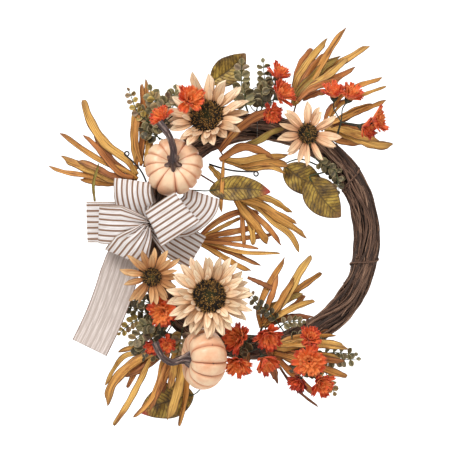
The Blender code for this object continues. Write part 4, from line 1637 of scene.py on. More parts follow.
def husk_sprays(shop: Workshop) -> list[HuskSpray]:
    """Every husk spray, with its leaves' routes.

    Args:
        shop: makes their pieces.

    Returns:
        The sprays.
    """
    gold, rust, bark, olive = Dye.GOLD, Dye.RUST, Dye.BARK, Dye.OLIVE
    return [
        HuskSpray(shop, "left", ((-174, 80, 19), (-206, 96, 24)), [
            Blade(((-188, 94), (-225, 88), (-262, 95), (-300, 101), (-321, 108)), 8, (20, 10)),
            Blade(((-188, 92), (-220, 88), (-245, 100), (-270, 110), (-300, 122)), 13, (22, 18), gold),
            Blade(((-190, 94), (-225, 95), (-245, 105), (-275, 118)), 9, (26, 24), rust),
            Blade(((-184, 90), (-195, 98), (-235, 115), (-268, 135), (-302, 160)), 8, (24, 30)),
            Blade(((-190, 92), (-205, 95), (-230, 118), (-243, 135), (-264, 156)), 9, (28, 38), rust),
            Blade(((-186, 96), (-198, 115), (-235, 145), (-262, 190), (-268, 212)), 13, (22, 20), gold),
            Blade(((-250, 55), (-252, 80), (-244, 113)), 4.5, (34, 33), olive),
            Blade(((-186, 94), (-215, 110), (-240, 140), (-252, 176)), 10, (18, 16), bark),
            Blade(((-186, 90), (-214, 84), (-244, 84), (-272, 90)), 9, (16, 12)),
        ]),
        HuskSpray(shop, "upper_left", ((-164, 100, 15), (-180, 122, 17)), [
            Blade(((-188, 105), (-183, 130), (-175, 160), (-172, 200), (-171, 243)), 8, (17, 14)),
            Blade(((-180, 120), (-177, 160), (-176, 190), (-177, 215), (-179, 236)), 10, (22, 20), rust),
            Blade(((-185, 105), (-190, 130), (-192, 160), (-190, 200)), 8, (15, 14), gold),
            Blade(((-180, 110), (-178, 135), (-175, 158)), 7, (16, 10), rust),
            Blade(((-172, 108), (-168, 126), (-163, 146)), 7, (14, 9)),
            Blade(((-178, 112), (-186, 140), (-186, 176), (-180, 206)), 9, (26, 26)),
            Blade(((-174, 108), (-168, 146), (-168, 182), (-164, 210)), 8, (20, 18), gold),
        ]),
        HuskSpray(shop, "top_right", ((54, 184, 19), (62, 212, 22)), [
            Blade(((55, 203), (62, 245), (75, 265), (90, 285), (107, 303)), 11, (20, 20), gold),
            Blade(((58, 205), (90, 250), (98, 265), (108, 282), (133, 320)), 10, (27, 36)),
            Blade(((60, 208), (85, 240), (115, 262), (140, 275), (171, 295)), 10, (25, 22), gold),
            Blade(((55, 203), (65, 225), (85, 245), (105, 265), (125, 275)), 14, (28, 29), olive),
            Blade(((60, 206), (75, 225), (95, 238), (115, 243), (149, 259)), 9, (30, 34), rust),
            Blade(((60, 208), (68, 230), (80, 255)), 8, (18, 16), bark),
            Blade(((66, 212), (95, 240), (120, 258)), 8, (20, 18), bark),
            Blade(((70, 212), (92, 222), (118, 226)), 9, (24, 26), rust),
            Blade(((58, 206), (70, 238), (86, 264), (104, 284)), 9, (23, 24), rust),
            Blade(((60, 206), (84, 232), (110, 250), (138, 274)), 10, (32, 34), gold),
            Blade(((56, 206), (58, 236), (66, 266), (84, 292)), 8, (18, 18), rust),
            Blade(((62, 210), (80, 226), (104, 236), (128, 242)), 9, (34, 36), rust),
        ]),
        HuskSpray(shop, "right", ((99, 164, 22), (116, 180, 25)), [
            Blade(((110, 186), (130, 218), (150, 230), (190, 243)), 7, (32, 42)),
            Blade(((112, 183), (130, 205), (160, 218), (198, 232)), 5, (28, 36), gold),
            Blade(((105, 172), (125, 180), (160, 195), (197, 209)), 8, (26, 28)),
            Blade(((104, 180), (112, 198), (136, 210)), 8, (24, 26), rust),
            Blade(((105, 168), (125, 178), (152, 192)), 9, (22, 24), bark),
            Blade(((104, 166), (130, 160), (160, 150), (185, 142), (207, 141)), 13, (22, 20), gold),
            Blade(((104, 164), (128, 172), (158, 168), (186, 160)), 8, (18, 18), rust),
            Blade(((104, 170), (130, 166), (156, 158), (184, 152)), 13, (24, 26), gold),
            Blade(((106, 172), (128, 184), (150, 196), (176, 204)), 7, (26, 28)),
            Blade(((104, 160), (124, 150), (146, 146), (168, 148)), 9, (16, 16), rust),
        ]),
        HuskSpray(shop, "ring_top", ((-62, 140, 34), (-52, 124, 45)), [
            Blade(((-48, 126), (-20, 138), (5, 150), (25, 163), (42, 167)), 10, (47, 44), olive),
            Blade(((-58, 118), (-20, 138), (0, 133), (23, 123)), 12, (48, 50), rust),
            Blade(((-50, 120), (-22, 117), (0, 122), (46, 125)), 10, (45, 46), gold),
            Blade(((-50, 118), (-25, 112), (10, 116), (46, 111)), 12, (44, 38)),
            Blade(((-48, 118), (-10, 105), (20, 108), (41, 100)), 9, (43, 38), gold),
            Blade(((-58, 132), (-30, 165), (0, 186), (28, 194)), 13, (46, 50), rust),
            Blade(((-52, 118), (-54, 80), (-56, 40)), 6, (47, 60)),
        ]),
        HuskSpray(shop, "centre", ((-103, 106, 22), (-32, 62, 30)), [
            Blade(((-30, 60), (5, 62), (20, 58), (52, 38)), 10, (31, 22), gold),
            Blade(((-34, 62), (0, 54), (30, 30), (50, 18), (74, 2)), 12, (33, 30)),
            Blade(((-34, 58), (0, 46), (30, 20), (50, 5), (65, -20)), 9, (27, 24), gold),
            Blade(((-34, 60), (-26, 46), (-5, 20), (16, -8)), 13, (34, 34)),
            Blade(((-38, 62), (-27, 45), (-22, 5), (-20, -15)), 7, (28, 24), rust),
            Blade(((-74, 110), (-60, 95), (-45, 70)), 9, (30, 32), gold),
            Blade(((-36, 62), (-16, 36), (-8, 10), (-6, -12)), 10, (30, 28), gold),
            Blade(((-34, 58), (-6, 36), (22, 8), (36, -10)), 9, (28, 26), rust),
            Blade(((-36, 60), (4, 50), (34, 34), (60, 22)), 9, (34, 32)),
        ]),
        HuskSpray(shop, "centre_left", ((-149, -8, 19), (-90, -4, 22)), [
            Blade(((-92, -5), (-40, -3), (24, 4)), 8, (22, 22), rust),
            Blade(((-92, -5), (-55, -15), (-30, -22), (35, -25)), 6, (24, 24), gold),
            Blade(((-94, -6), (-45, -22), (-20, -33), (3, -44)), 7, (18, 14), rust),
            Blade(((-90, -6), (-30, -12), (2, -18)), 6, (26, 26), rust),
            Blade(((-92, -2), (-75, 5), (-50, 18), (-25, 30)), 6, (20, 14), gold),
            Blade(((-92, -2), (-75, 14), (-55, 28), (-25, 39), (2, 38)), 9, (24, 25), rust),
            Blade(((-92, -4), (-60, 4), (-30, 10), (4, 18)), 9, (20, 18), rust),
            Blade(((-92, -8), (-60, -26), (-36, -40), (-12, -52)), 8, (20, 18)),
        ]),
        HuskSpray(shop, "lower_centre", ((4, -149, 19), (10, -126, 22)), [
            Blade(((6, -140), (2, -118), (12, -85), (25, -60), (42, -34)), 9, (23, 20)),
            Blade(((10, -134), (28, -115), (52, -80), (65, -55), (84, -30)), 12, (27, 28), gold),
            Blade(((12, -134), (45, -95), (60, -82), (80, -68), (99, -55)), 10, (21, 18)),
            Blade(((12, -136), (35, -120), (55, -108), (73, -90)), 9, (19, 14), rust),
            Blade(((8, -138), (30, -122), (70, -103), (88, -98)), 9, (27, 28), gold),
            Blade(((8, -130), (14, -112), (34, -102), (68, -86)), 9, (23, 24), olive),
            Blade(((-15, -62), (4, -70), (27, -80)), 7, (28, 26), bark),
            Blade(((10, -132), (30, -108), (44, -84), (56, -66)), 10, (30, 32)),
            Blade(((8, -134), (16, -104), (24, -84), (30, -60)), 9, (26, 26), rust),
            Blade(((12, -138), (40, -126), (62, -122), (84, -124)), 9, (22, 22), bark),
        ]),
        HuskSpray(shop, "lower_right", ((24, -172, 40), (46, -178, 46)), [
            Blade(((26, -166), (52, -163), (80, -162), (108, -164), (135, -168)), 13, (45, 48), gold),
            Blade(((26, -178), (56, -186), (84, -194), (110, -204), (137, -214)), 13, (44, 46)),
            Blade(((24, -180), (36, -202), (50, -222), (72, -244), (93, -260)), 4, (42, 36), bark),
            Blade(((26, -168), (44, -168), (66, -164)), 15, (44, 46), gold),
            Blade(((24, -170), (60, -180), (96, -186), (130, -192)), 12, (41, 40), rust),
            Blade(((22, -176), (44, -200), (66, -220), (88, -240)), 10, (40, 38), rust),
            Blade(((20, -172), (52, -164), (88, -152), (112, -142)), 9, (38, 34), bark),
            Blade(((26, -174), (58, -178), (94, -180), (124, -184)), 10, (39, 41), gold),
            Blade(((26, -176), (60, -194), (92, -214), (112, -228)), 9, (42, 40), gold),
            Blade(((20, -170), (50, -156), (84, -152), (118, -150)), 9, (40, 38)),
            Blade(((18, -176), (24, -200), (28, -222)), 12, (38, 34), bark),
            Blade(((-14, -168), (-18, -192), (-16, -212)), 12, (36, 32), bark),
        ]),
        HuskSpray(shop, "lower_left", ((-118, -151, 19), (-146, -180, 24)), [
            Blade(((-140, -172), (-180, -178), (-205, -184), (-222, -205), (-234, -229)), 8, (19, 14), gold),
            Blade(((-140, -174), (-170, -182), (-205, -205), (-225, -230), (-232, -255)), 13, (28, 28)),
            Blade(((-140, -174), (-180, -197), (-201, -233)), 8, (21, 16), rust),
            Blade(((-138, -170), (-158, -182), (-180, -220), (-198, -254), (-222, -290)), 9, (26, 24), gold),
            Blade(((-136, -172), (-145, -190), (-152, -225), (-165, -252), (-189, -277)), 8, (32, 36)),
            Blade(((-136, -180), (-150, -225), (-163, -265)), 8, (34, 36), rust),
            Blade(((-122, -164), (-116, -188), (-120, -225), (-128, -255), (-135, -278)), 13, (30, 32), gold),
            Blade(((-134, -170), (-139, -188), (-145, -240)), 8, (22, 20), bark),
            Blade(((-118, -165), (-109, -200), (-110, -240), (-121, -292)), 8, (20, 18)),
            Blade(((-120, -160), (-132, -196), (-148, -224), (-158, -250)), 12, (28, 30), rust),
            Blade(((-130, -166), (-160, -190), (-186, -206), (-206, -214)), 11, (24, 22), bark),
            Blade(((-126, -166), (-128, -200), (-134, -232)), 11, (36, 40), gold),
            Blade(((-124, -158), (-160, -170), (-190, -170), (-214, -176)), 9, (20, 18)),
        ]),
    ]


@dataclass(frozen=True)
class Twig:
    """One stem of round leaves.

    Args:
        route: its places, from root to tip.
        pairs: leaves on each side.
        spread: how far a leaf's tip stands from the stem.
        width: of a leaf.
        tone: place on the eucalyptus colours.
    """

    route: tuple[Place, ...]
    pairs: int
    spread: float
    width: float
    tone: float


@dataclass
class EucalyptusSprig:
    """Twigs of round, cupped leaves in opposite pairs, each turned a little from the last.

    Args:
        shop: makes the piece.
        name: the node's name without its first word.
        twigs: its stems.
        in_frame: whether a CAD node stands for it.
        finish: of the leaves.
        bark: of the stems.
    """

    shop: Workshop
    name: str
    twigs: Sequence[Twig]
    in_frame: bool = True
    finish: Finish = EucalyptusCoat()
    bark: Finish = MouldedGreen()

    def leaf(
        self, place: np.ndarray, ahead: np.ndarray, twig: Twig, size: float, rng: np.random.Generator
    ) -> Stack:
        """A round leaf: width by the square root of s(1 - s), cupped, on a short stalk.

        Args:
            place: where it leaves the stem.
            ahead: the way it points.
            twig: its stem.
            size: share of the twig's full leaf.
            rng: draws the small differences.

        Returns:
            The leaf.
        """
        rows = 9
        s = np.linspace(0.0, 1.0, rows)
        path = place + s[:, None] * ahead * twig.spread * size
        path[:, 2] += rng.uniform(-1.5, 2.5) * s**2
        half = 0.5 * twig.width * size * np.interp(
            s, [0, 0.12, 0.3, 0.5, 0.7, 0.87, 0.96, 1.0], [0.1, 0.3, 0.85, 1.0, 0.96, 0.7, 0.38, 0.1]
        )
        u = np.linspace(-1, 1, 7)
        lift = rng.uniform(-0.3, 0.5) * half[:, None] * u**2
        tone = float(np.clip(twig.tone + rng.uniform(-0.2, 0.2), 0, 1))
        return strip(path, half, FRONT, 7, rng.uniform(-0.9, 0.9), lift, tone)

    def build(self) -> None:
        """Makes the leaves, and the stems under them."""
        rng = np.random.default_rng(sum(map(ord, self.name)) + 3)
        leaves, stems = [], []
        for twig in self.twigs:
            path = smooth_path(twig.route, 40)
            stems.append(tube(path, np.linspace(1.1, 0.6, 40), 6))
            along = unit(np.gradient(path, axis=0))
            across = unit(np.cross(along, FRONT))
            for pair in range(twig.pairs):
                share = 0.25 + 0.72 * (pair + 0.5) / twig.pairs
                row = int(share * 39)
                size = 1.35 - 0.35 * share
                for side in (1.0, -1.0):
                    lean = rng.uniform(0.25, 0.75)
                    ahead = unit(side * across[row] + lean * along[row] + rng.uniform(-0.1, 0.3) * FRONT)
                    leaves.append(self.leaf(path[row], ahead, twig, size, rng))
            leaves.append(self.leaf(path[-1], along[-1], twig, 0.75, rng))
        nodes = [f"eucalyptus_{self.name}"] if self.in_frame else []
        name = f"round_leaves_{self.name}"
        made = self.shop.piece(name, leaves, self.finish, "eucalyptus", nodes, thick=0.5)
        twigs = self.shop.piece(f"round_leaf_stems_{self.name}", stems, self.bark, "eucalyptus", body=None)
        twigs.parent = made


def eucalyptus_sprigs(shop: Workshop) -> list[EucalyptusSprig]:
    """Every sprig of round leaves.

    Args:
        shop: makes their pieces.

    Returns:
        The sprigs.
    """
    dark, grey, sage, mauve, lime = 0.05, 0.32, 0.52, 0.75, 0.98
    return [
        EucalyptusSprig(shop, "upper_left", [
            Twig(((-131, 140, 26), (-150, 185, 34), (-163, 224, 40)), 6, 15, 12, sage),
            Twig(((-160, 172, 26), (-182, 190, 30), (-197, 224, 32)), 5, 9, 8, lime),
            Twig(((-150, 186, 66), (-140, 204, 70), (-126, 218, 72)), 4, 11, 12, 0.6),
            Twig(((-132, 190, 34), (-128, 210, 38), (-126, 226, 40)), 3, 12, 12, 0.6),
            Twig(((-146, 150, 28), (-160, 158, 30), (-174, 164, 30)), 3, 13, 12, dark),
            Twig(((-142, 180, 40), (-150, 200, 44), (-160, 216, 46)), 3, 12, 12, lime),
            Twig(((-150, 150, 24), (-166, 174, 26), (-174, 196, 28)), 4, 12, 11, mauve),
        ]),
        EucalyptusSprig(shop, "top", [
            Twig(((-14, 191, 22), (-22, 215, 24), (-24, 266, 28)), 6, 13, 12, sage),
            Twig(((6, 200, 24), (11, 235, 28), (9, 268, 30)), 5, 11, 9, grey),
            Twig(((-2, 192, 26), (4, 212, 32), (16, 232, 34)), 4, 14, 13, sage),
            Twig(((-14, 192, 34), (-18, 206, 40), (-20, 226, 42)), 3, 14, 14, grey),
            Twig(((4, 190, 36), (8, 204, 42), (6, 224, 44)), 3, 14, 14, dark),
            Twig(((24, 206, 30), (27, 226, 34), (22, 246, 36)), 4, 10, 9, dark),
        ]),
        EucalyptusSprig(shop, "left", [
            Twig(((-150, -118, 24), (-178, -116, 28), (-200, -106, 30)), 4, 11, 10, dark),
            Twig(((-160, -122, 24), (-190, -130, 26), (-210, -146, 28)), 5, 10, 9, lime),
            Twig(((-150, -122, 24), (-168, -140, 28), (-190, -160, 30)), 5, 14, 13, mauve),
            Twig(((-148, -130, 26), (-164, -158, 28), (-186, -184, 28)), 5, 14, 12, dark),
            Twig(((-130, -120, 34), (-150, -130, 38), (-176, -136, 40)), 4, 14, 13, grey),
            Twig(((-128, -130, 34), (-142, -152, 38), (-158, -182, 38)), 4, 13, 13, dark),
            Twig(((-112, -132, 40), (-118, -156, 42), (-122, -180, 40)), 4, 13, 12, mauve),
            Twig(((-150, -104, 40), (-168, -100, 42), (-190, -96, 42)), 3, 12, 12, dark),
        ]),
        EucalyptusSprig(shop, "lower_right", [
            Twig(((66, -180, 20), (110, -190, 24), (152, -188, 26)), 6, 11, 9, sage),
            Twig(((96, -188, 24), (108, -214, 26), (118, -238, 26)), 4, 10, 9, lime),
            Twig(((84, -182, 24), (116, -178, 28), (148, -180, 28)), 4, 10, 8, grey),
            Twig(((40, -172, 36), (60, -158, 40), (96, -160, 40)), 4, 13, 12, dark),
            Twig(((44, -180, 36), (60, -196, 40), (90, -206, 40)), 4, 13, 12, dark),
        ]),
        EucalyptusSprig(shop, "lower_centre", [
            Twig(((40, -144, 34), (20, -118, 38), (-10, -94, 38)), 5, 9, 8, dark),
            Twig(((30, -142, 34), (48, -130, 36), (68, -130, 36)), 4, 9, 8, sage),
            Twig(((34, -150, 34), (46, -164, 38), (54, -182, 38)), 3, 12, 11, dark),
            Twig(((20, -130, 32), (4, -110, 34), (-12, -84, 34)), 4, 8, 6, 0.75),
            Twig(((-8, -150, 44), (-24, -170, 50), (-34, -184, 50)), 3, 13, 12, dark),
        ]),
        EucalyptusSprig(shop, "right", [
            Twig(((96, 128, 26), (112, 108, 30), (128, 84, 32)), 4, 11, 9, dark),
            Twig(((88, 124, 34), (100, 112, 38), (116, 104, 38)), 3, 10, 9, grey),
            Twig(((110, 116, 36), (122, 96, 40), (124, 72, 42)), 3, 9, 8, dark),
        ], in_frame=False),
    ]


@dataclass
class MagnoliaLeaf:
    """A broad pointed leaf on a wire.

    Args:
        shop: makes the piece.
        name: the node's name without its first words.
        petiole: the wire's places, the last being the leaf's foot.
        tip: the leaf's tip.
        width: at its widest.
        facing: the way it looks, on the bench.
        bend: how far the middle line bows sideways.
        finish: of the leaf.
        wire: of its stalk.
    """

    shop: Workshop
    name: str
    petiole: Sequence[Place]
    tip: Place
    width: float
    facing: Place
    bend: float = 0.0
    finish: Finish = MagnoliaPrint()
    wire: Finish = MouldedGreen()

    def build(self) -> None:
        """The blade is a pointed oval, keeled along its midrib, arched, with a waved margin."""
        rows, columns = 40, 17
        foot, tip = np.array(self.petiole[-1]), np.array(self.tip)
        s = np.linspace(0, 1, rows)
        front = unit(np.array(self.facing, float))
        side = unit(np.cross(tip - foot, front))
        path = foot + s[:, None] * (tip - foot)
        arch = self.width * 0.09 * np.sin(math.pi * s)
        path = path + arch[:, None] * front + (self.bend * np.sin(math.pi * s))[:, None] * side
        half = 0.5 * self.width * np.sin(math.pi * s**0.85) ** 0.75 * (1 - 0.12 * s)
        half[0], half[-1] = 0.6, 0.25
        u = np.linspace(-1, 1, columns)
        keel = 0.20 * half[:, None] * np.abs(u) - 0.10 * half[:, None]
        waves = 0.9 * np.sin(2 * math.pi * (3.2 * s[:, None] - 0.3 * np.abs(u))) * np.abs(u) ** 2
        puckers = np.sin(2 * math.pi * (s[:, None] * 10 - np.abs(u) * 1.6)) * np.sin(math.pi * np.abs(u))
        blade = strip(path, half, front, columns, 0.0, keel + waves + 0.35 * puckers, len(self.name) / 12)
        node = f"magnolia_leaf_{self.name}"
        name = f"magnolia_{self.name}"
        leaf = self.shop.piece(name, [blade], self.finish, "magnolia_leaf", [node], thick=0.6)
        stalk = smooth_path([*self.petiole, tuple(path[4])], 24)
        rod = tube(stalk, np.linspace(1.5, 0.9, 24), 8, np.array([0.2, 0.3, 1.0]))
        made = self.shop.piece(f"magnolia_wire_{self.name}", [rod], self.wire, "magnolia_leaf", body=None)
        made.parent = leaf


@dataclass
class Tendril:
    """A dark wire that ends in a curl.

    Args:
        shop: makes the piece.
        name: the node's name without its first word.
        start: where it leaves the vines.
        end: where its curl begins.
        bow: how far the middle of it hangs to its left.
        curl: radius of the curl.
        taped: the wire's finish.
    """

    shop: Workshop
    name: str
    start: Place
    end: Place
    bow: float
    curl: float = 4.0
    taped: Finish = DrawnWire(
        name="dark taped florist wire", roughness=0.6, metallic=0.0, pale="#2c221d", dark="#120e0c"
    )

    def build(self) -> None:
        """A bowed stalk, then a turn and a quarter that closes in on itself."""
        start, end = np.array(self.start), np.array(self.end)
        along = unit(end - start)
        side = unit(np.cross(along, FRONT))
        s = np.linspace(0, 1, 24)[:, None]
        stalk = start + s * (end - start) - self.bow * np.sin(math.pi * s) * side
        turn = np.linspace(0.2, 2.35 * math.pi, 30)[:, None]
        size = self.curl * (1 - 0.16 * turn / math.pi)
        swing = side * size * (1 - np.cos(turn)) + along * size * np.sin(turn)
        curl = end + swing - np.array([0, 0, -0.12]) * turn
        path = np.concatenate([stalk, curl])
        rod = tube(path, np.linspace(1.5, 1.0, len(path)), 8)
        node = f"tendril_{self.name}"
        self.shop.piece(f"curl_{self.name}", [rod], self.taped, "wire", [node])


# ---------------------------------------------------------------- flowers


POINTED = ((0.0, 0.08, 0.25, 0.5, 0.75, 0.92, 1.0), (0.34, 0.5, 0.82, 1.0, 0.8, 0.36, 0.04))
STUBBY = ((0.0, 0.15, 0.5, 0.75, 0.92, 1.0), (0.26, 0.45, 0.85, 1.0, 0.85, 0.5))


@dataclass(frozen=True)
class PetalLayer:
    """One ring of petals.

    Args:
        count: petals in it.
        length: of a petal.
        width: of a petal.
        pitch: rise above the head's plane in degrees.
        curl: millimetres that the tips lift further.
        base: height of its roots over the head's plane.
        root: share of the disc's radius that it starts at.
    """

    count: int
    length: float
    width: float
    pitch: float
    curl: float
    base: float
    root: float = 0.86


@dataclass
class Sunflower:
    """Cloth petals round a flocked seed disc, on a moulded calyx and stem.

    Args:
        shop: makes the pieces.
        name: the nodes' name without its first and last words.
        look: the way it faces on the bench.
        disc: radius of the seed disc.
        layers: its rings of petals, back to front.
        stem: places of the stem between the calyx and the vines.
        petal: its cloth.
        slot: the record's slot for the cloth.
        seeds: how many scales its disc has.
        sink: how far the cloth head has sagged from the frame's disc.
        short: share of their length that the petals at its foot have lost by curling forward.
        flock: the disc's finish.
        green: the calyx's finish.
    """

    shop: Workshop
    name: str
    look: Place
    disc: float
    layers: Sequence[PetalLayer]
    stem: Sequence[Place]
    petal: Finish
    slot: str
    seeds: int = 420
    sink: float = 0.0
    short: float = 0.0
    flock: Finish = SeedFlock()
    green: Finish = MouldedGreen()

    def __post_init__(self) -> None:
        """The head's axes, and its middle from the frame's disc."""
        self.axes = head_axes(self.look)
        rise = self.disc * 0.38
        middle = self.shop.bench.middle_of(f"sunflower_{self.name}_disc")
        self.centre = middle - self.axes[2] * rise / 2 - np.array([0.0, self.sink, 0.0])

    def petals(self, rng: np.random.Generator) -> list[Stack]:
        """Every layer, its petals of uneven length, width, pitch and spacing.

        Args:
            rng: draws the small differences.

        Returns:
            A stack for each layer.
        """
        stacks = []
        for number, layer in enumerate(self.layers):
            step = 2 * math.pi / layer.count
            spots = np.arange(layer.count) + 0.5 * number + rng.uniform(-0.22, 0.22, layer.count)
            angles = step * spots
            low = self.short * np.clip(-np.sin(angles), -0.4, 1)
            stacks.append(petal_ring(
                self.centre, self.axes, angles, self.disc * layer.root,
                layer.length * (1 - low) * rng.uniform(0.82, 1.08, layer.count),
                layer.width * rng.uniform(0.78, 1.15, layer.count),
                np.radians(layer.pitch + 60 * np.maximum(low, 0) + rng.uniform(-11, 11, layer.count)),
                layer.curl + rng.uniform(-5.0, 4.0, layer.count),
                POINTED, base=layer.base, hollow=0.32, ripple=0.8, tone=rng.uniform(0.1, 1.0, layer.count),
            ))
        return stacks

    def dome_height(self, share: np.ndarray) -> np.ndarray:
        """The dome's height at a share of its radius: one less a power of it, less a bell at the middle."""
        return self.disc * 0.30 * (1 - share**2.4 - 0.18 * np.exp(-((share / 0.3) ** 2)))

    def dome(self) -> Stack:
        """The disc's closed body: a low dome, dimpled in the middle.

        Returns:
            The dome.
        """
        share = np.linspace(1.0, 0.06, 12)
        heights = self.dome_height(share)
        radii = np.concatenate([[0.9], share]) * (self.disc - 1.0)
        local = turned(radii, np.concatenate([[-0.3], heights]), 36) + [0, 0, 0.6]
        edge = np.concatenate([[1.0], share])[None, :, None]
        return seated(local, self.centre, self.axes, tone=0.2, edge=edge)

    def scales(self, rng: np.random.Generator) -> Stack:
        """Seeds in a sunflower spiral: each turns by the golden angle and lies at the root of its count.

        Args:
            rng: draws the small differences.

        Returns:
            The seeds.
        """
        number = np.arange(1, self.seeds + 1)
        share = np.sqrt(number / self.seeds)
        angle = number * GOLDEN_ANGLE
        radius = share * (self.disc - 0.6)
        height = self.dome_height(share) + 0.2
        local = np.stack([radius * np.cos(angle), radius * np.sin(angle), height], axis=-1)
        size = self.disc / math.sqrt(self.seeds)
        lean = np.stack([
            share * np.cos(angle) * 0.75, share * np.sin(angle) * 0.75, np.ones_like(share)
        ], axis=-1) + rng.uniform(-0.22, 0.22, (self.seeds, 3))
        tall = unit(lean)
        side = unit(np.cross(tall, [0.3, 0.8, 0.1]))
        frames = np.stack([side, np.cross(tall, side), tall], axis=1) @ self.axes
        grow = size * rng.uniform(0.85, 1.15, self.seeds)
        scales = np.stack([grow, grow, grow * (1.1 + 0.9 * share)], axis=-1)
        shape = turned([0.75, 0.95, 0.55, 0.12], [0.0, 0.7, 1.6, 2.1], 5)
        made = scatter(shape, scales, self.centre + local @ self.axes, frames, rng.uniform(0, 1, self.seeds))
        made.edge = share
        return made

    def calyx(self, rng: np.random.Generator) -> list[Stack]:
        """A cone behind the disc, its sepals, and the stem.

        Args:
            rng: draws the small differences.

        Returns:
            The cone, the stem and the sepals.
        """
        back = self.centre - 1.2 * self.axes[2]
        drop = self.disc * 0.55
        heights = -drop * np.array([0.0, 0.06, 0.3, 0.7, 1.0])
        radii = self.disc * np.array([0.6, 0.86, 0.7, 0.4, 0.13])
        local = turned(radii[::-1], heights[::-1], 24)
        cone = seated(local, back, self.axes, 2.0)
        angles = np.linspace(0, 2 * math.pi, 14, endpoint=False) + rng.uniform(-0.1, 0.1, 14)
        sepals = petal_ring(
            back, self.axes, angles, self.disc * 0.7, self.disc * 0.75 * rng.uniform(0.8, 1.1, 14),
            np.full(14, self.disc * 0.34), np.full(14, 0.02), np.full(14, -2.0), POINTED, rows=8, columns=5,
            base=-1.6, tone=0.4,
        )
        neck = back - drop * 0.9 * self.axes[2]
        route = smooth_path([tuple(neck), *self.stem], 20)
        return [cone, tube(route, np.linspace(3.0, 2.0, 20), 10, np.array([0.3, 1.0, 0.2])), sepals]

    def build(self) -> None:
        """Makes the petals, the disc and the calyx."""
        rng = np.random.default_rng(sum(map(ord, self.name)))
        node = f"sunflower_{self.name}"
        petals = self.petals(rng)
        self.shop.piece(f"{node}_cloth", petals, self.petal, self.slot, [f"{node}_petals"], thick=0.5)
        seeds = [self.dome(), self.scales(rng)]
        self.shop.piece(f"{node}_seeds", seeds, self.flock, "seed_disc", [f"{node}_disc"])
        *solid, sepals = self.calyx(rng)
        cup = self.shop.piece(f"{node}_cup", solid, self.green, "green_plastic", [f"{node}_calyx"])
        ruff = self.shop.piece(f"{node}_sepals", [sepals], self.green, "green_plastic", body=None, thick=0.7)
        ruff.parent = cup


@dataclass(frozen=True)
class DaisyHead:
    """One daisy.

    Args:
        place: the middle of its rim.
        look: the way it faces on the bench.
        radius: of its rim.
        dye: how bright its orange is, from 0 to 1.
        cup: how far it is closed, from 0, flat open, to 1.
    """

    place: Place
    look: Place
    radius: float
    dye: float = 0.8
    cup: float = 0.0


@dataclass
class DaisySpray:
    """Double daisies on wires that leave one stem.

    Args:
        shop: makes the pieces.
        name: the node's name without its first words.
        root: where the stem leaves the vines.
        fork: where its wires part.
        heads: its daisies.
        cloth: the petals' finish.
        taped: the wires' finish.
    """

    shop: Workshop
    name: str
    root: Place
    fork: Place
    heads: Sequence[DaisyHead]
    cloth: Finish = DaisyCloth()
    taped: Finish = MouldedGreen(
        name="taped daisy wire", roughness=0.65, dark="#1f211a", pale="#3f4530"
    )

    def head(self, head: DaisyHead, rng: np.random.Generator) -> list[Stack]:
        """Four rings of toothed petals, each shorter and steeper than the one outside it.

        Args:
            head: the daisy.
            rng: draws the small differences.

        Returns:
            A stack for each ring.
        """
        axes, r = head_axes(head.look), head.radius
        # Each ring: count, length, pitch, width, root and a tone shift. The shift darkens the outer rings and
        # brightens the inner ones, partly the dye's own change from throat to tips and partly painted shade where the
        # outer petals lie under the inner.
        rings = [(12, 1.28, 20, 0.54, 0.10, -0.35), (11, 1.16, 36, 0.50, 0.10, -0.1),
                 (9, 0.96, 52, 0.42, 0.08, 0.1), (7, 0.68, 70, 0.32, 0.04, 0.15)]
        stacks = []
        for number, (count, length, pitch, width, root, glow) in enumerate(rings):
            step = 2 * math.pi / count
            angles = step * (np.arange(count) + 0.5 * number) + rng.uniform(-0.2, 0.2, count) * step
            stacks.append(petal_ring(
                np.array(head.place, float), axes, angles, r * root,
                r * (1 + 0.3 * head.cup) * length * rng.uniform(0.8, 1.08, count),
                r * width * rng.uniform(0.8, 1.1, count),
                np.radians(pitch + head.cup * (72 - 0.6 * pitch) * 0.6 + rng.uniform(-14, 14, count)),
                r * rng.uniform(-0.25, 0.12, count),
                STUBBY, rows=9, columns=7, hollow=0.7, ripple=0.5, teeth=0.17, base=-0.42 * r,
                tone=np.clip(head.dye + glow + rng.uniform(-0.2, 0.2, count), 0, 1),
            ))
        return stacks

    def holder(self, head: DaisyHead) -> list[Stack]:
        """The moulded cup behind the petals, and the wire from the fork.

        Args:
            head: the daisy.

        Returns:
            The cup and the wire.
        """
        axes, r = head_axes(head.look), head.radius
        girth = np.array([0.05, 0.09, 0.2, 0.27, 0.1]) * (1 + 0.7 * head.cup)
        local = turned(girth * r, np.array([-0.92, -0.8, -0.6, -0.4, -0.36]) * r, 12)
        place = np.array(head.place, float)
        cup = seated(local, place, axes, 3.0)
        foot = place - 0.85 * r * axes[2]
        back = place - 1.5 * r * axes[2]
        fork = np.array(self.fork, float)
        halfway = (fork + back) / 2 + [0, 0, -1.0]
        route = smooth_path([self.fork, tuple(halfway), tuple(back), tuple(foot)], 20)
        return [cup, tube(route, 1.0, 7, np.array([0.31, 0.2, 1.0]), 0.3)]

    def build(self) -> None:
        """Makes the heads, then their cups and wires."""
        rng = np.random.default_rng(sum(map(ord, self.name)) + 11)
        petals = [stack for head in self.heads for stack in self.head(head, rng)]
        wires = [stack for head in self.heads for stack in self.holder(head)]
        stem = smooth_path([self.root, self.fork], 10)
        wires.append(tube(stem, np.linspace(1.9, 1.5, 10), 8, np.array([0.31, 0.2, 1.0]), 0.3))
        node = f"daisy_spray_{self.name}"
        made = self.shop.piece(f"daisies_{self.name}", petals, self.cloth, "daisy", [node], thick=0.35)
        rods = self.shop.piece(f"daisy_wires_{self.name}", wires, self.taped, "daisy", body=None)
        rods.parent = made


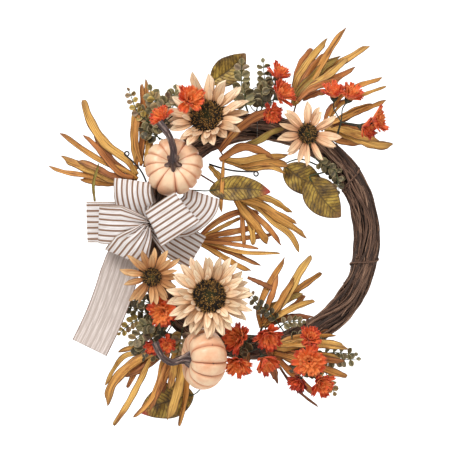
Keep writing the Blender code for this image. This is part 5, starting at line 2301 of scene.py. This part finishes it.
def daisy_sprays(shop: Workshop) -> list[DaisySpray]:
    """Every spray of daisies.

    Args:
        shop: makes their pieces.

    Returns:
        The sprays.
    """
    return [
        DaisySpray(shop, "upper_left", (-120, 134, 38.5), (-150, 167, 78), [
            DaisyHead((-146, 182, 90), (-0.45, 0.35, 0.7), 16, 0.85, 0.3),
            DaisyHead((-101, 207, 106), (0.35, 0.3, 0.85), 19, 0.95, 0.25),
        ]),
        DaisySpray(shop, "top", (12, 178, 36), (16, 200, 46), [
            DaisyHead((33, 249, 44), (0.35, 0.9, 0.45), 17, 0.8, 0.6),
            DaisyHead((36, 218, 58), (0.7, 0.45, 0.6), 19, 0.9, 0.5),
            DaisyHead((22, 188, 70), (0.3, -0.4, 0.85), 14, 0.65, 0.3),
        ]),
        DaisySpray(shop, "right", (120, 148, 34), (128, 176, 50), [
            DaisyHead((117, 219, 58), (0.0, 0.85, 0.55), 17, 0.85, 0.6),
            DaisyHead((142, 216, 60), (0.45, 0.75, 0.55), 18, 0.95, 0.6),
            DaisyHead((181, 178, 60), (0.9, 0.2, 0.45), 19, 0.95, 0.5),
            DaisyHead((165, 167, 58), (0.85, -0.2, 0.45), 16, 0.8, 0.65),
        ]),
        DaisySpray(shop, "left", (-136, -124, 38), (-146, -140, 48), [
            DaisyHead((-145, -114, 70), (-0.1, -0.2, 1.0), 19, 0.95),
            DaisyHead((-160, -166, 56), (-0.4, -0.4, 0.8), 12, 0.6, 0.6),
            DaisyHead((-138, -164, 62), (0.2, -0.3, 0.9), 12, 0.75),
        ]),
        DaisySpray(shop, "bottom", (-16, -170, 39), (-9, -174, 52), [
            DaisyHead((-30, -152, 74), (-0.55, 0.1, 0.8), 21, 0.85, 0.45),
            DaisyHead((16, -150, 70), (0.2, -0.5, 0.85), 19, 0.8, 0.45),
            DaisyHead((-31, -193, 66), (-0.2, -0.55, 0.75), 18, 0.95, 0.4),
            DaisyHead((11, -189, 64), (0.35, -0.65, 0.6), 18, 0.9, 0.6),
        ]),
        DaisySpray(shop, "lower_right", (64, -164, 39), (70, -176, 54), [
            DaisyHead((80, -153, 70), (0.1, 0.4, 0.9), 16, 0.75, 0.5),
            DaisyHead((78, -188, 84), (0.0, 0.0, 1.0), 21, 0.95),
            DaisyHead((62, -220, 62), (-0.4, -0.4, 0.8), 14, 0.45, 0.6),
            DaisyHead((97, -222, 68), (0.4, -0.3, 0.9), 18, 0.85, 0.5),
        ]),
    ]


# ---------------------------------------------------------------- pumpkins


@dataclass
class Pumpkin:
    """A ribbed foam pumpkin and its woody stem.

    Args:
        shop: makes the pieces.
        name: the nodes' name without its first and last words.
        axis: from its blossom end to its stem, on the bench.
        radius: across its widest, halved.
        half_height: along its axis, halved.
        stem: places of its stem past the foot.
        ribs: how many.
        foot: radius of the stem's star.
        skin: the body's finish.
        wood: the stem's finish.
    """

    shop: Workshop
    name: str
    axis: Place
    radius: float
    half_height: float
    stem: Sequence[Place]
    ribs: int = 12
    foot: float = 12.5
    skin: Finish = PumpkinSkin()
    wood: Finish = PumpkinStemBark()

    def __post_init__(self) -> None:
        """The pumpkin's axes, and its middle from the frame."""
        self.axes = head_axes(self.axis)
        self.centre = self.shop.bench.middle_of(f"pumpkin_{self.name}_body")

    def body(self) -> Stack:
        """A flattened ball: its radius dips by a furrow that is the cube of one less the rib's sine.

        The ribs are unevenly wide because the turn that they follow has a slow wave added. Both poles
        are dimpled by a bell curve of the latitude.

        Returns:
            The ball.
        """
        rows, columns = 60, self.ribs * 14
        latitude = np.linspace(-0.985, 0.985, rows)[:, None] * math.pi / 2
        turn = np.linspace(0, 2 * math.pi, columns, endpoint=False)[None, :]
        warped = turn + 0.10 * np.sin(2 * turn + 0.6) + 0.05 * np.sin(3 * turn + 2.0)
        rib = np.abs(np.sin(self.ribs * warped / 2))
        furrow = (1 - rib) ** 3.4
        swell = 1 + 0.025 * np.sin(3 * turn + 1.0) + 0.012 * np.sin(5 * turn)
        girth = np.cos(latitude) ** 0.86 * swell * (1 - 0.11 * furrow * np.cos(latitude) ** 0.4)
        top = 0.30 * np.exp(-(((math.pi / 2 - latitude) / 0.46) ** 2))
        bottom = 0.12 * np.exp(-(((math.pi / 2 + latitude) / 0.4) ** 2))
        height = np.sin(latitude) - top + bottom - 0.05 * furrow * np.sign(latitude) * np.cos(latitude)
        local = np.stack([
            self.radius * girth * np.cos(turn),
            self.radius * girth * np.sin(turn),
            self.half_height * height * np.ones_like(turn),
        ], axis=-1)
        wide = np.arange(columns + 1) * 2 * math.pi * self.radius / columns
        uv = np.stack(np.broadcast_arrays(wide[None, :], latitude * self.half_height), axis=-1)[None]
        return Stack(
            (self.centre + local @ self.axes)[None], uv, edge=furrow[None] ** 0.7,
            run=((latitude / math.pi) + 0.5)[None], tube=True,
        )

    def stalk(self) -> Stack:
        """A five-ridged rod from a star-shaped foot to a cut end that flares a little.

        Returns:
            The stem.
        """
        look = self.axes[2]
        low = self.centre + look * self.half_height * 0.68
        route = [tuple(low + look * step) for step in (0.0, 3.5, 9.0)]
        path = smooth_path([*route, *self.stem], 54)
        share = np.linspace(0, 1, 54)
        girth = np.interp(
            share, [0, 0.05, 0.13, 0.25, 0.6, 0.9, 1.0],
            [self.foot, self.foot * 0.8, self.foot * 0.5, 5.2, 4.5, 4.8, 5.6],
        )
        sides = 30
        turn = np.linspace(0, 2 * math.pi, sides, endpoint=False)[None, :]
        ridge = np.cos(5 * turn + 2.2 * share[:, None])
        depth = np.interp(share, [0, 0.12, 0.3, 1.0], [0.34, 0.26, 0.15, 0.13])[:, None]
        made = tube(path, girth, sides, np.array([0.3, 0.25, 0.1]), 0.5, depth * ridge)
        made.edge = (0.5 - 0.5 * ridge)[None]
        return made

    def build(self) -> None:
        """Makes the body and the stem."""
        node = f"pumpkin_{self.name}"
        self.shop.piece(f"{node}_foam", [self.body()], self.skin, "pumpkin", [f"{node}_body"])
        self.shop.piece(f"{node}_stalk", [self.stalk()], self.wood, "pumpkin_stem", [f"{node}_stem"])


# ---------------------------------------------------------------- the bow


@dataclass(frozen=True)
class Ribbon:
    """The ribbon that the bow is tied from.

    Args:
        width: from edge to edge, laid flat.
        thick: of the cloth.
        face: its striped side.
        reverse: its wrong side.
    """

    width: float = 63.5
    thick: float = 0.5
    face: Finish = StripedCotton()
    reverse: Finish = CottonReverse()

    def pleats(self, cover: np.ndarray, folds: float, phase: float, u: np.ndarray) -> np.ndarray:
        """How far each place across stands off the ribbon's plane, where it is gathered to cover.

        A sine of n folds across a width w is longer than w by a quarter of (2 pi n a / w) squared, so
        its amplitude a takes up what the gathered width leaves over of the ribbon's own width.

        Args:
            cover: (rows,) gathered width.
            folds: how many across.
            phase: where the first one starts.
            u: (columns,) places across, from -1 to 1.

        Returns:
            (rows, columns) millimetres.
        """
        spare = np.maximum((self.width / cover) ** 2 - 1, 0.0)
        height = cover / (2 * math.pi * folds) * np.sqrt(2 * spare)
        return np.minimum(height, 5.0)[:, None] * np.sin(2 * math.pi * folds * 0.5 * u[None, :] + phase)

    def sheet(self, path: np.ndarray, across: np.ndarray, cover: np.ndarray, lift: np.ndarray) -> Stack:
        """The ribbon along a path: its normal is across times the way it runs.

        Args:
            path: (rows, columns, 3) or (rows, 3) places before it is lifted.
            across: (rows, 3) the way its columns run.
            cover: (rows,) its gathered width.
            lift: (rows, columns) off its plane.

        Returns:
            The cloth.
        """
        columns = lift.shape[1]
        u = np.linspace(-1, 1, columns)
        spine = path if path.ndim == 3 else np.repeat(path[:, None], columns, axis=1)
        along = unit(np.gradient(spine, axis=0))
        side = unit(across - along * np.sum(across * along, axis=-1, keepdims=True))
        face = np.cross(side, along)
        points = spine + 0.5 * (cover[:, None] * u)[..., None] * side + lift[..., None] * face
        middle = spine[:, columns // 2]
        run = distances(middle)
        uv = np.stack(np.broadcast_arrays(self.width / 2 * u[None, :], run[:, None]), axis=-1)[None]
        share = (run / run[-1])[None, :, None]
        return Stack(points[None], uv, edge=np.abs(u)[None, None, :], run=share)


@dataclass(frozen=True)
class BowLoop:
    """One loop of the bow: out along a spine, round the end, and back under it.

    Args:
        name: the node's name without its first words.
        spine: the middle line from the tie to the loop's end, on the bench.
        puff: half of the space between its two layers.
        width: what it covers once it has spread.
        gather: how far from the tie its pleats last.
        lean: degrees that the edge right of its run comes forward.
        skew: millimetres that this edge reaches further at the end.
        folds: pleats where it is gathered.
    """

    name: str
    spine: tuple[Place, ...]
    puff: float
    width: float
    gather: float = 40.0
    lean: float = 0.0
    skew: float = 0.0
    folds: float = 3.5

    def stack(self, ribbon: Ribbon) -> Stack:
        """The place along the spine is the sine, and the rise off it the cosine, of one half turn.

        Args:
            ribbon: what it is tied from.

        Returns:
            The loop.
        """
        rows, columns = 84, 33
        t = np.linspace(0.0, math.pi, rows)
        sine, cosine = np.sin(t), np.cos(t)
        line = smooth_path(self.spine, 80)
        length = path_length(line)
        share = np.linspace(0, 1, 80)
        middle = np.stack([np.interp(sine, share, line[:, k]) for k in range(3)], axis=-1)
        heading = unit(np.gradient(line, axis=0))
        ahead = unit(np.stack([np.interp(sine, share, heading[:, k]) for k in range(3)], axis=-1))
        side = unit(np.cross(ahead, FRONT))
        lean = math.radians(self.lean)
        across = math.cos(lean) * side + math.sin(lean) * FRONT
        front = np.cross(across, ahead)
        u = np.linspace(-1, 1, columns)[None, :]
        slack = self.skew * u * sine[:, None] ** 3 - 1.4 * u**2 * sine[:, None] ** 3
        rise = self.puff * cosine * sine**0.55 + 1.4 * cosine
        spine = middle[:, None] + slack[..., None] * ahead[:, None] + rise[:, None, None] * front[:, None]
        spread = np.minimum(1.0, sine * length / self.gather)
        cover = TIED_WIDTH + (self.width - TIED_WIDTH) * spread**0.8
        pleat = ribbon.pleats(cover, self.folds, length * 0.7, u[0])
        calm = 1 - spread[:, None] ** 2
        pleat = pleat * (0.12 + 0.88 * calm) + 0.5 * np.sin(3 * t[:, None] + 2.5 * u)
        return ribbon.sheet(spine, np.repeat(across[:, None], columns, axis=1), cover, pleat)


@dataclass(frozen=True)
class CentreLoop:
    """The loop that stands over the tie: a whole oval of ribbon, pinched where it is tied behind.

    Args:
        name: the node's name without its first words.
        centre: its middle on the bench.
        out: the way it lies.
        length: between its two rolled ends.
        puff: half of its height.
        width: of the ribbon across its front.
        fan: degrees that its width turns from one end to the other.
    """

    name: str
    centre: Place
    out: Place
    length: float
    puff: float
    width: float
    fan: float

    def stack(self, ribbon: Ribbon) -> Stack:
        """From the tie, back along the sine of a whole turn and up by its cosine, to the tie again.

        Args:
            ribbon: what it is tied from.

        Returns:
            The loop.
        """
        rows, columns = 120, 33
        t = np.linspace(0.0, 2 * math.pi, rows)
        out = unit(np.array(self.out, float))
        across = unit(np.cross(out, FRONT))
        front = np.cross(across, out)
        u = np.linspace(-1, 1, columns)
        along = -0.5 * self.length * np.sign(np.sin(t)) * np.abs(np.sin(t)) ** 0.8
        rise = -self.puff * np.sign(np.cos(t)) * np.abs(np.cos(t)) ** 0.7
        turn = np.radians(self.fan) * along / self.length
        fanned = np.cos(turn)[:, None] * across + np.sin(turn)[:, None] * out
        spine = np.array(self.centre) + along[:, None] * out + rise[:, None] * front
        spine = np.repeat(spine[:, None], columns, axis=1)
        crown = 2.2 * (1 - u[None, :] ** 2) * np.clip(-np.cos(t), 0, 1)[:, None]
        spread = np.clip(1.25 * (1 - np.cos(t)), 0, 1)
        cover = 15.0 + (self.width - 15.0) * spread**0.8
        pleat = ribbon.pleats(cover, 3.5, 0.4, u) * (1 - spread[:, None] ** 2)
        ripple = 0.6 * np.sin(2.1 * t[:, None] + 3.0 * u[None, :])
        return ribbon.sheet(spine, np.repeat(fanned[:, None], columns, axis=1), cover, pleat + ripple + crown)


@dataclass
class Bow:
    """Seven loops of striped ribbon gathered by a wire, with one tail.

    Args:
        shop: makes the pieces.
        knot: where the tie stands, right and up.
        tie_radius: of the wound wire.
        tie_depth: from the door, its back and its front.
        hinge: the line that the tail bends on.
        tail_length: below the hinge.
        slant: of the tail from plumb.
        ribbon: what it is tied from.
        taped: the tie's finish.
        loops: back to front or by place.
    """

    shop: Workshop
    knot: tuple[float, float] = (-165.0, 22.0)
    tie_radius: float = 4.6
    tie_depth: tuple[float, float] = (46.0, 86.0)
    hinge: Place = (-205.0, -34.0, 47.0)
    tail_length: float = 145.0
    slant: float = math.radians(21.0)
    ribbon: Ribbon = Ribbon()
    taped: Finish = DrawnWire(
        name="taped florist wire", roughness=0.6, metallic=0.0, pale="#4a3a30", dark="#241b16"
    )
    loops: list[BowLoop | CentreLoop] = field(default_factory=lambda: [
        BowLoop("top_left", ((-168, 24, 66), (-180, 38, 68), (-187, 60, 70), (-189, 87, 70)), 12, 59, 24,
                14, -6),
        BowLoop("left", ((-166, 20, 86), (-190, 19, 87), (-215, 19, 86), (-241, 20, 84)), 11, 58, 40, 10),
        BowLoop("left_back", ((-166, 22, 60), (-215, 23, 58), (-261, 23, 56)), 5, 62, 40, 0, 1),
        BowLoop("lower_left", ((-168, 17, 88), (-176, 4, 87), (-190, -14, 83), (-203, -31, 78)), 8, 61, 38,
                10, 8),
        CentreLoop("front", (-132, 29, 98), (0.839, 0.546, 0.1), 60, 10, 59, 19),
        BowLoop("right", ((-166, 22, 62), (-135, 22, 62), (-104, 34, 64), (-88, 50, 66), (-84, 67, 66)),
                8, 56, 50, -6, -3),
        BowLoop("lower_right", ((-166, 20, 58), (-130, -2, 57), (-92, -24, 57)), 6, 57, 45, 5),
    ])

    def cloth(
        self, name: str, stack: Stack, nodes: Sequence[str], faced: bool, body: str | None
    ) -> bpy.types.Object:
        """One length of ribbon, faced with stripes or with its reverse.

        Args:
            name: the piece's name.
            stack: its cloth.
            nodes: that it stands for.
            faced: whether its stripes are in front.
            body: that it rides on, or None.

        Returns:
            The piece.
        """
        front, back = self.ribbon.face, self.ribbon.reverse
        if not faced:
            front, back = back, front
        made = self.shop.piece(name, [stack], front, "ribbon", nodes, body, self.ribbon.thick)
        made.data.materials.append(material_of(back))
        made.modifiers["thickness"].material_offset = 1
        return made

    def fall(self) -> np.ndarray:
        """The way that the tail hangs, on the bench."""
        return np.array([-math.sin(self.slant), -math.cos(self.slant), 0.0])

    def tail(self) -> Stack:
        """From the tie, gathered, then spread and hanging aslant in two slow waves.

        Returns:
            The cloth.
        """
        x, z = self.knot
        down = self.fall()
        hinge = np.array(self.hinge)
        places = [(x - 8.5, z - 10.5, 46.0), (-188, -10, 46.5), tuple(hinge), tuple(hinge + 20 * down),
                  tuple(hinge + self.tail_length * down)]
        rows, columns = 110, 33
        path = smooth_path(places, rows)
        run = distances(path)
        stub = float(np.interp(self.hinge[1], path[::-1, 1], run[::-1]))
        below = np.clip((run - stub) / self.tail_length, 0, 1)
        path[:, 2] += 3.4 * np.sin(2 * math.pi * 1.1 * below) * below**0.5
        path[:, 0] += 4.5 * np.sin(math.pi * below)
        cover = np.interp(run, [0, stub * 0.6, stub, stub + 25, run[-1]], [TIED_WIDTH, 38, 54, 59, 58])
        u = np.linspace(-1, 1, columns)
        calm = np.interp(run, [0, stub, stub + 45], [1, 0.45, 0.1])[:, None]
        gather = self.ribbon.pleats(cover, 3.0, 0.6, u) * calm
        waves = 1.3 * np.sin(2.2 * u[None, :] + 5 * below[:, None]) * below[:, None]
        across = np.cross(down, FRONT)
        return self.ribbon.sheet(path, across * np.ones((rows, columns, 1)), cover, gather + waves)

    def tie(self) -> list[Stack]:
        """Wire wound close round the ribbon's middle: a coil of eleven turns, and the pleats inside.

        Returns:
            The coil and the core.
        """
        turn = np.linspace(0, 22 * math.pi, 11 * 18)
        depth = np.linspace(self.tie_depth[0] + 1, self.tie_depth[1] - 1, len(turn))
        radius = self.tie_radius - 1.0
        x, z = self.knot
        path = np.stack([x + radius * np.cos(turn), z + radius * np.sin(turn), depth], axis=-1)
        core = np.stack([np.full(12, x), np.full(12, z), np.linspace(*self.tie_depth, 12)], axis=-1)
        return [
            tube(path, 1.0, 6, tone=0.2),
            tube(core, radius, 16, np.array([1.0, 0.0, 0.0]), 0.4),
        ]

    def build(self) -> None:
        """Makes the tie, the loops and the tail, and declares each length of ribbon a sheet."""
        self.shop.piece("bow_tie", self.tie(), self.taped, "wire", ["bow_tie_wire"])
        for loop in self.loops:
            stack = loop.stack(self.ribbon)
            made = self.cloth(f"ribbon_{loop.name}", stack, [f"bow_loop_{loop.name}"], True, "wreath")
            length = path_length(stack.points[0, :, stack.points.shape[2] // 2])
            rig.sheet(made, flat=(self.ribbon.width * MM, length * MM), held="gathered",
                     rests_on=["bow_tie_wire"])
        stack = self.tail()
        made = self.cloth("ribbon_tail", stack, ["bow_tail_root", "bow_tail"], False, None)
        above, below = (tuple(np.array(self.hinge) + step * self.fall()) for step in (-9.0, 12.0))
        point = self.shop.bench.point
        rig.blend(made, "wreath", "bow_tail", start=point(above), end=point(below))
        length = path_length(stack.points[0, :, stack.points.shape[2] // 2])
        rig.sheet(made, flat=(self.ribbon.width * MM, length * MM), held="hung", rests_on=["bow_tie_wire"])


# ---------------------------------------------------------------- the studio


@dataclass
class Studio:
    """A long lens square to the wreath, soft lamps, and pale paper under and behind it.

    Args:
        bench: where the ring stands.
        aim: the middle of the view on the bench.
        lens: focal length in millimetres, on a 36 mm sensor.
        distance: from the lens to the door, in metres.
    """

    bench: Bench
    aim: Place = (-42.0, 11.0, 0.0)
    lens: float = 153.5
    distance: float = 3.05

    def camera(self) -> None:
        """The camera, level and looking straight at the door."""
        data = bpy.data.cameras.new("camera")
        data.lens = self.lens
        data.sensor_width = SENSOR_WIDTH
        data.clip_end = 50.0
        camera = bpy.data.objects.new("camera", data)
        x, y, z = self.bench.point(self.aim)
        camera.location = (x, y - self.distance, z)
        camera.rotation_euler = (math.pi / 2, 0.0, 0.0)
        bpy.context.scene.collection.objects.link(camera)
        bpy.context.scene.camera = camera

    def lamp(self, name: str, place: Place, size: float, power: float) -> None:
        """A square lamp at a world place, turned to the ring's centre.

        Args:
            name: of the lamp.
            place: in the world, in metres.
            size: of its side, in metres.
            power: in watts.
        """
        data = bpy.data.lights.new(name, "AREA")
        data.shape = "SQUARE"
        data.size = size
        data.energy = power
        lamp = bpy.data.objects.new(name, data)
        lamp.location = place
        towards = np.array(self.bench.centre) - np.array(place)
        lamp.rotation_euler = (
            math.acos(-towards[2] / np.linalg.norm(towards)),
            0.0,
            math.atan2(towards[1], towards[0]) - math.pi / 2,
        )
        bpy.context.scene.collection.objects.link(lamp)

    def panel(self, name: str, corners: Sequence[Place], paper: Finish) -> None:
        """A sheet of paper between four world places, staged.

        Args:
            name: of the sheet.
            corners: in order round it.
            paper: its finish.
        """
        mesh = bpy.data.meshes.new(name)
        mesh.from_pydata([list(corner) for corner in corners], [], [(0, 1, 2, 3)])
        mesh.materials.append(material_of(paper))
        made = bpy.data.objects.new(name, mesh)
        bpy.context.scene.collection.objects.link(made)
        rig.stage(made)

    def build(self) -> None:
        """Makes the camera, lamps, floor and backdrop."""
        self.camera()
        self.lamp("key", (-1.2, -2.2, 1.6), 1.2, 57.0)
        self.lamp("fill", (1.9, -2.2, 0.2), 2.0, 17.0)
        self.lamp("top", (0.2, -0.7, 1.9), 1.2, 12.0)
        floor = float(self.bench.centre[2]) - 0.62
        self.panel("floor", [(-1.5, -1.6, floor), (1.5, -1.6, floor), (1.5, 1.2, floor), (-1.5, 1.2, floor)],
                   StudioPaper())
        self.panel("backdrop", [(-5.0, 6.0, -5.0), (5.0, 6.0, -5.0), (5.0, 6.0, 5.0), (-5.0, 6.0, 5.0)],
                   StudioPaper(name="lit background paper", glow=1.0))
        world = bpy.data.worlds.new("studio")
        world.use_nodes = True
        sky = world.node_tree.nodes["Background"]
        sky.inputs["Color"].default_value = WHITE
        sky.inputs["Strength"].default_value = 0.42
        bpy.context.scene.world = world
        bpy.context.scene.view_settings.view_transform = "Standard"


# ---------------------------------------------------------------- the whole wreath


def magnolia_leaves(shop: Workshop) -> list[MagnoliaLeaf]:
    """The five broad leaves, two of them with red tips.

    Args:
        shop: makes their pieces.

    Returns:
        The leaves.
    """
    red = MagnoliaPrint(name="latex-dipped cloth leaf, red tip", tip="#a23c2c")
    return [
        MagnoliaLeaf(shop, "top", [(-66, 181, 12), (-74, 212, 12), (-72, 240, 14)], (-18, 284, 18),
                     46, (0.1, 0.1, 1), 4),
        MagnoliaLeaf(shop, "centre", [(-130, 71, 28), (-100, 72, 42), (-74, 71, 54)], (20, 69, 56),
                     42, (0, 0.2, 1), -4, red),
        MagnoliaLeaf(shop, "right_low", [(110, 101, 22), (96, 98, 34), (80, 92, 40)], (128, 31, 42),
                     57, (0.1, 0, 1), 5),
        MagnoliaLeaf(shop, "right_high", [(102, 108, 14), (60, 120, 16), (42, 110, 20)], (108, 72, 26),
                     50, (0, 0.1, 1), 4),
        MagnoliaLeaf(shop, "bottom", [(-72, -178, 12), (-82, -226, 10), (-98, -244, 9)], (-182, -272, 8),
                     58, (0, 0.05, 1), 3, red),
    ]


def sunflowers(shop: Workshop) -> list[Sunflower]:
    """The four sunflowers.

    Args:
        shop: makes their pieces.

    Returns:
        The flowers.
    """
    cream = ClothPetal()
    peach = ClothPetal(
        name="peach cloth petal", foot="#a9663a", middle="#edbc90", tip="#fadbb4", blush="#e09a6c"
    )
    amber = ClothPetal(
        name="amber cloth petal", foot="#8f5426", middle="#d2955a", tip="#ecc08a", blush="#c97f44"
    )
    dense = [
        PetalLayer(19, 45, 14, 4, 1, 0.2),
        PetalLayer(18, 41, 13, 16, 1, 0.6),
        PetalLayer(15, 30, 11, 32, 2, 1.0),
        PetalLayer(10, 17, 8, 50, 2, 1.2),
    ]
    full = [
        PetalLayer(16, 46, 15, 6, 1, 0.2),
        PetalLayer(15, 40, 14, 20, 2, 0.8),
        PetalLayer(9, 22, 10, 42, 2, 1.2),
    ]
    open_star = [PetalLayer(11, 39, 12.5, 2, 1, 0.2), PetalLayer(9, 33, 10.5, 12, 1, 0.6)]
    fringe = [PetalLayer(13, 37, 10.5, 2, 2, 0.2), PetalLayer(10, 32, 9, 14, 2, 0.6)]
    return [
        Sunflower(shop, "upper_left", (-0.2, 0.33, 1), 26, full, [(-74, 172, 52), (-68, 160, 41)],
                  cream, "cream_petal", sink=4.0, short=0.24),
        Sunflower(shop, "upper_right", (0.25, 0.05, 1), 15, open_star, [(75, 155, 52), (74, 154, 41)],
                  peach, "peach_petal", 220),
        Sunflower(shop, "left", (0, -0.25, 1), 14, fringe, [(-160, -56, 58), (-159, -58, 41)],
                  amber, "peach_petal", 220),
        Sunflower(shop, "lower", (0.1, 0.16, 1), 26, dense, [(-82, -104, 66), (-104, -126, 40)],
                  cream, "cream_petal"),
    ]


def pumpkins(shop: Workshop) -> list[Pumpkin]:
    """The two pumpkins.

    Args:
        shop: makes their pieces.

    Returns:
        The pumpkins.
    """
    return [
        Pumpkin(shop, "upper", (0.02, 0.2, 1), 44.5, 33,
                [(-127, 132, 116), (-131, 147, 117), (-138, 160, 114), (-147, 172, 108)]),
        Pumpkin(shop, "lower", (-0.93, 0.02, 0.36), 46.5, 33,
                [(-132, -187, 105), (-142, -181, 106), (-149, -171, 105), (-154, -158, 103)], 10),
    ]


def main() -> None:
    """Builds every sub-assembly in order, and writes the two boxes."""
    logging.basicConfig(level=logging.INFO, format="%(message)s")
    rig.load()
    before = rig.bounds()
    bench = Bench.from_frame()
    shop = Workshop(bench)
    Studio(bench).build()
    parts = [
        VineRing(shop),
        Hanger(shop),
        *husk_sprays(shop),
        *eucalyptus_sprigs(shop),
        *magnolia_leaves(shop),
        Tendril(shop, "left", (-166, 66, 42), (-203, 126, 40), -8.0),
        Tendril(shop, "centre", (-74, 112, 42), (-2, 100, 58), -4.0),
        *sunflowers(shop),
        *pumpkins(shop),
        *daisy_sprays(shop),
        Bow(shop),
    ]
    for part in parts:
        part.build()
    boxes = {"cad": before, "visual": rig.bounds()}
    plain = {key: np.asarray(box, float).tolist() for key, box in boxes.items()}
    with open("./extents.json", "w", encoding="utf-8") as out:
        json.dump(plain, out)


if __name__ == "__main__":
    main()
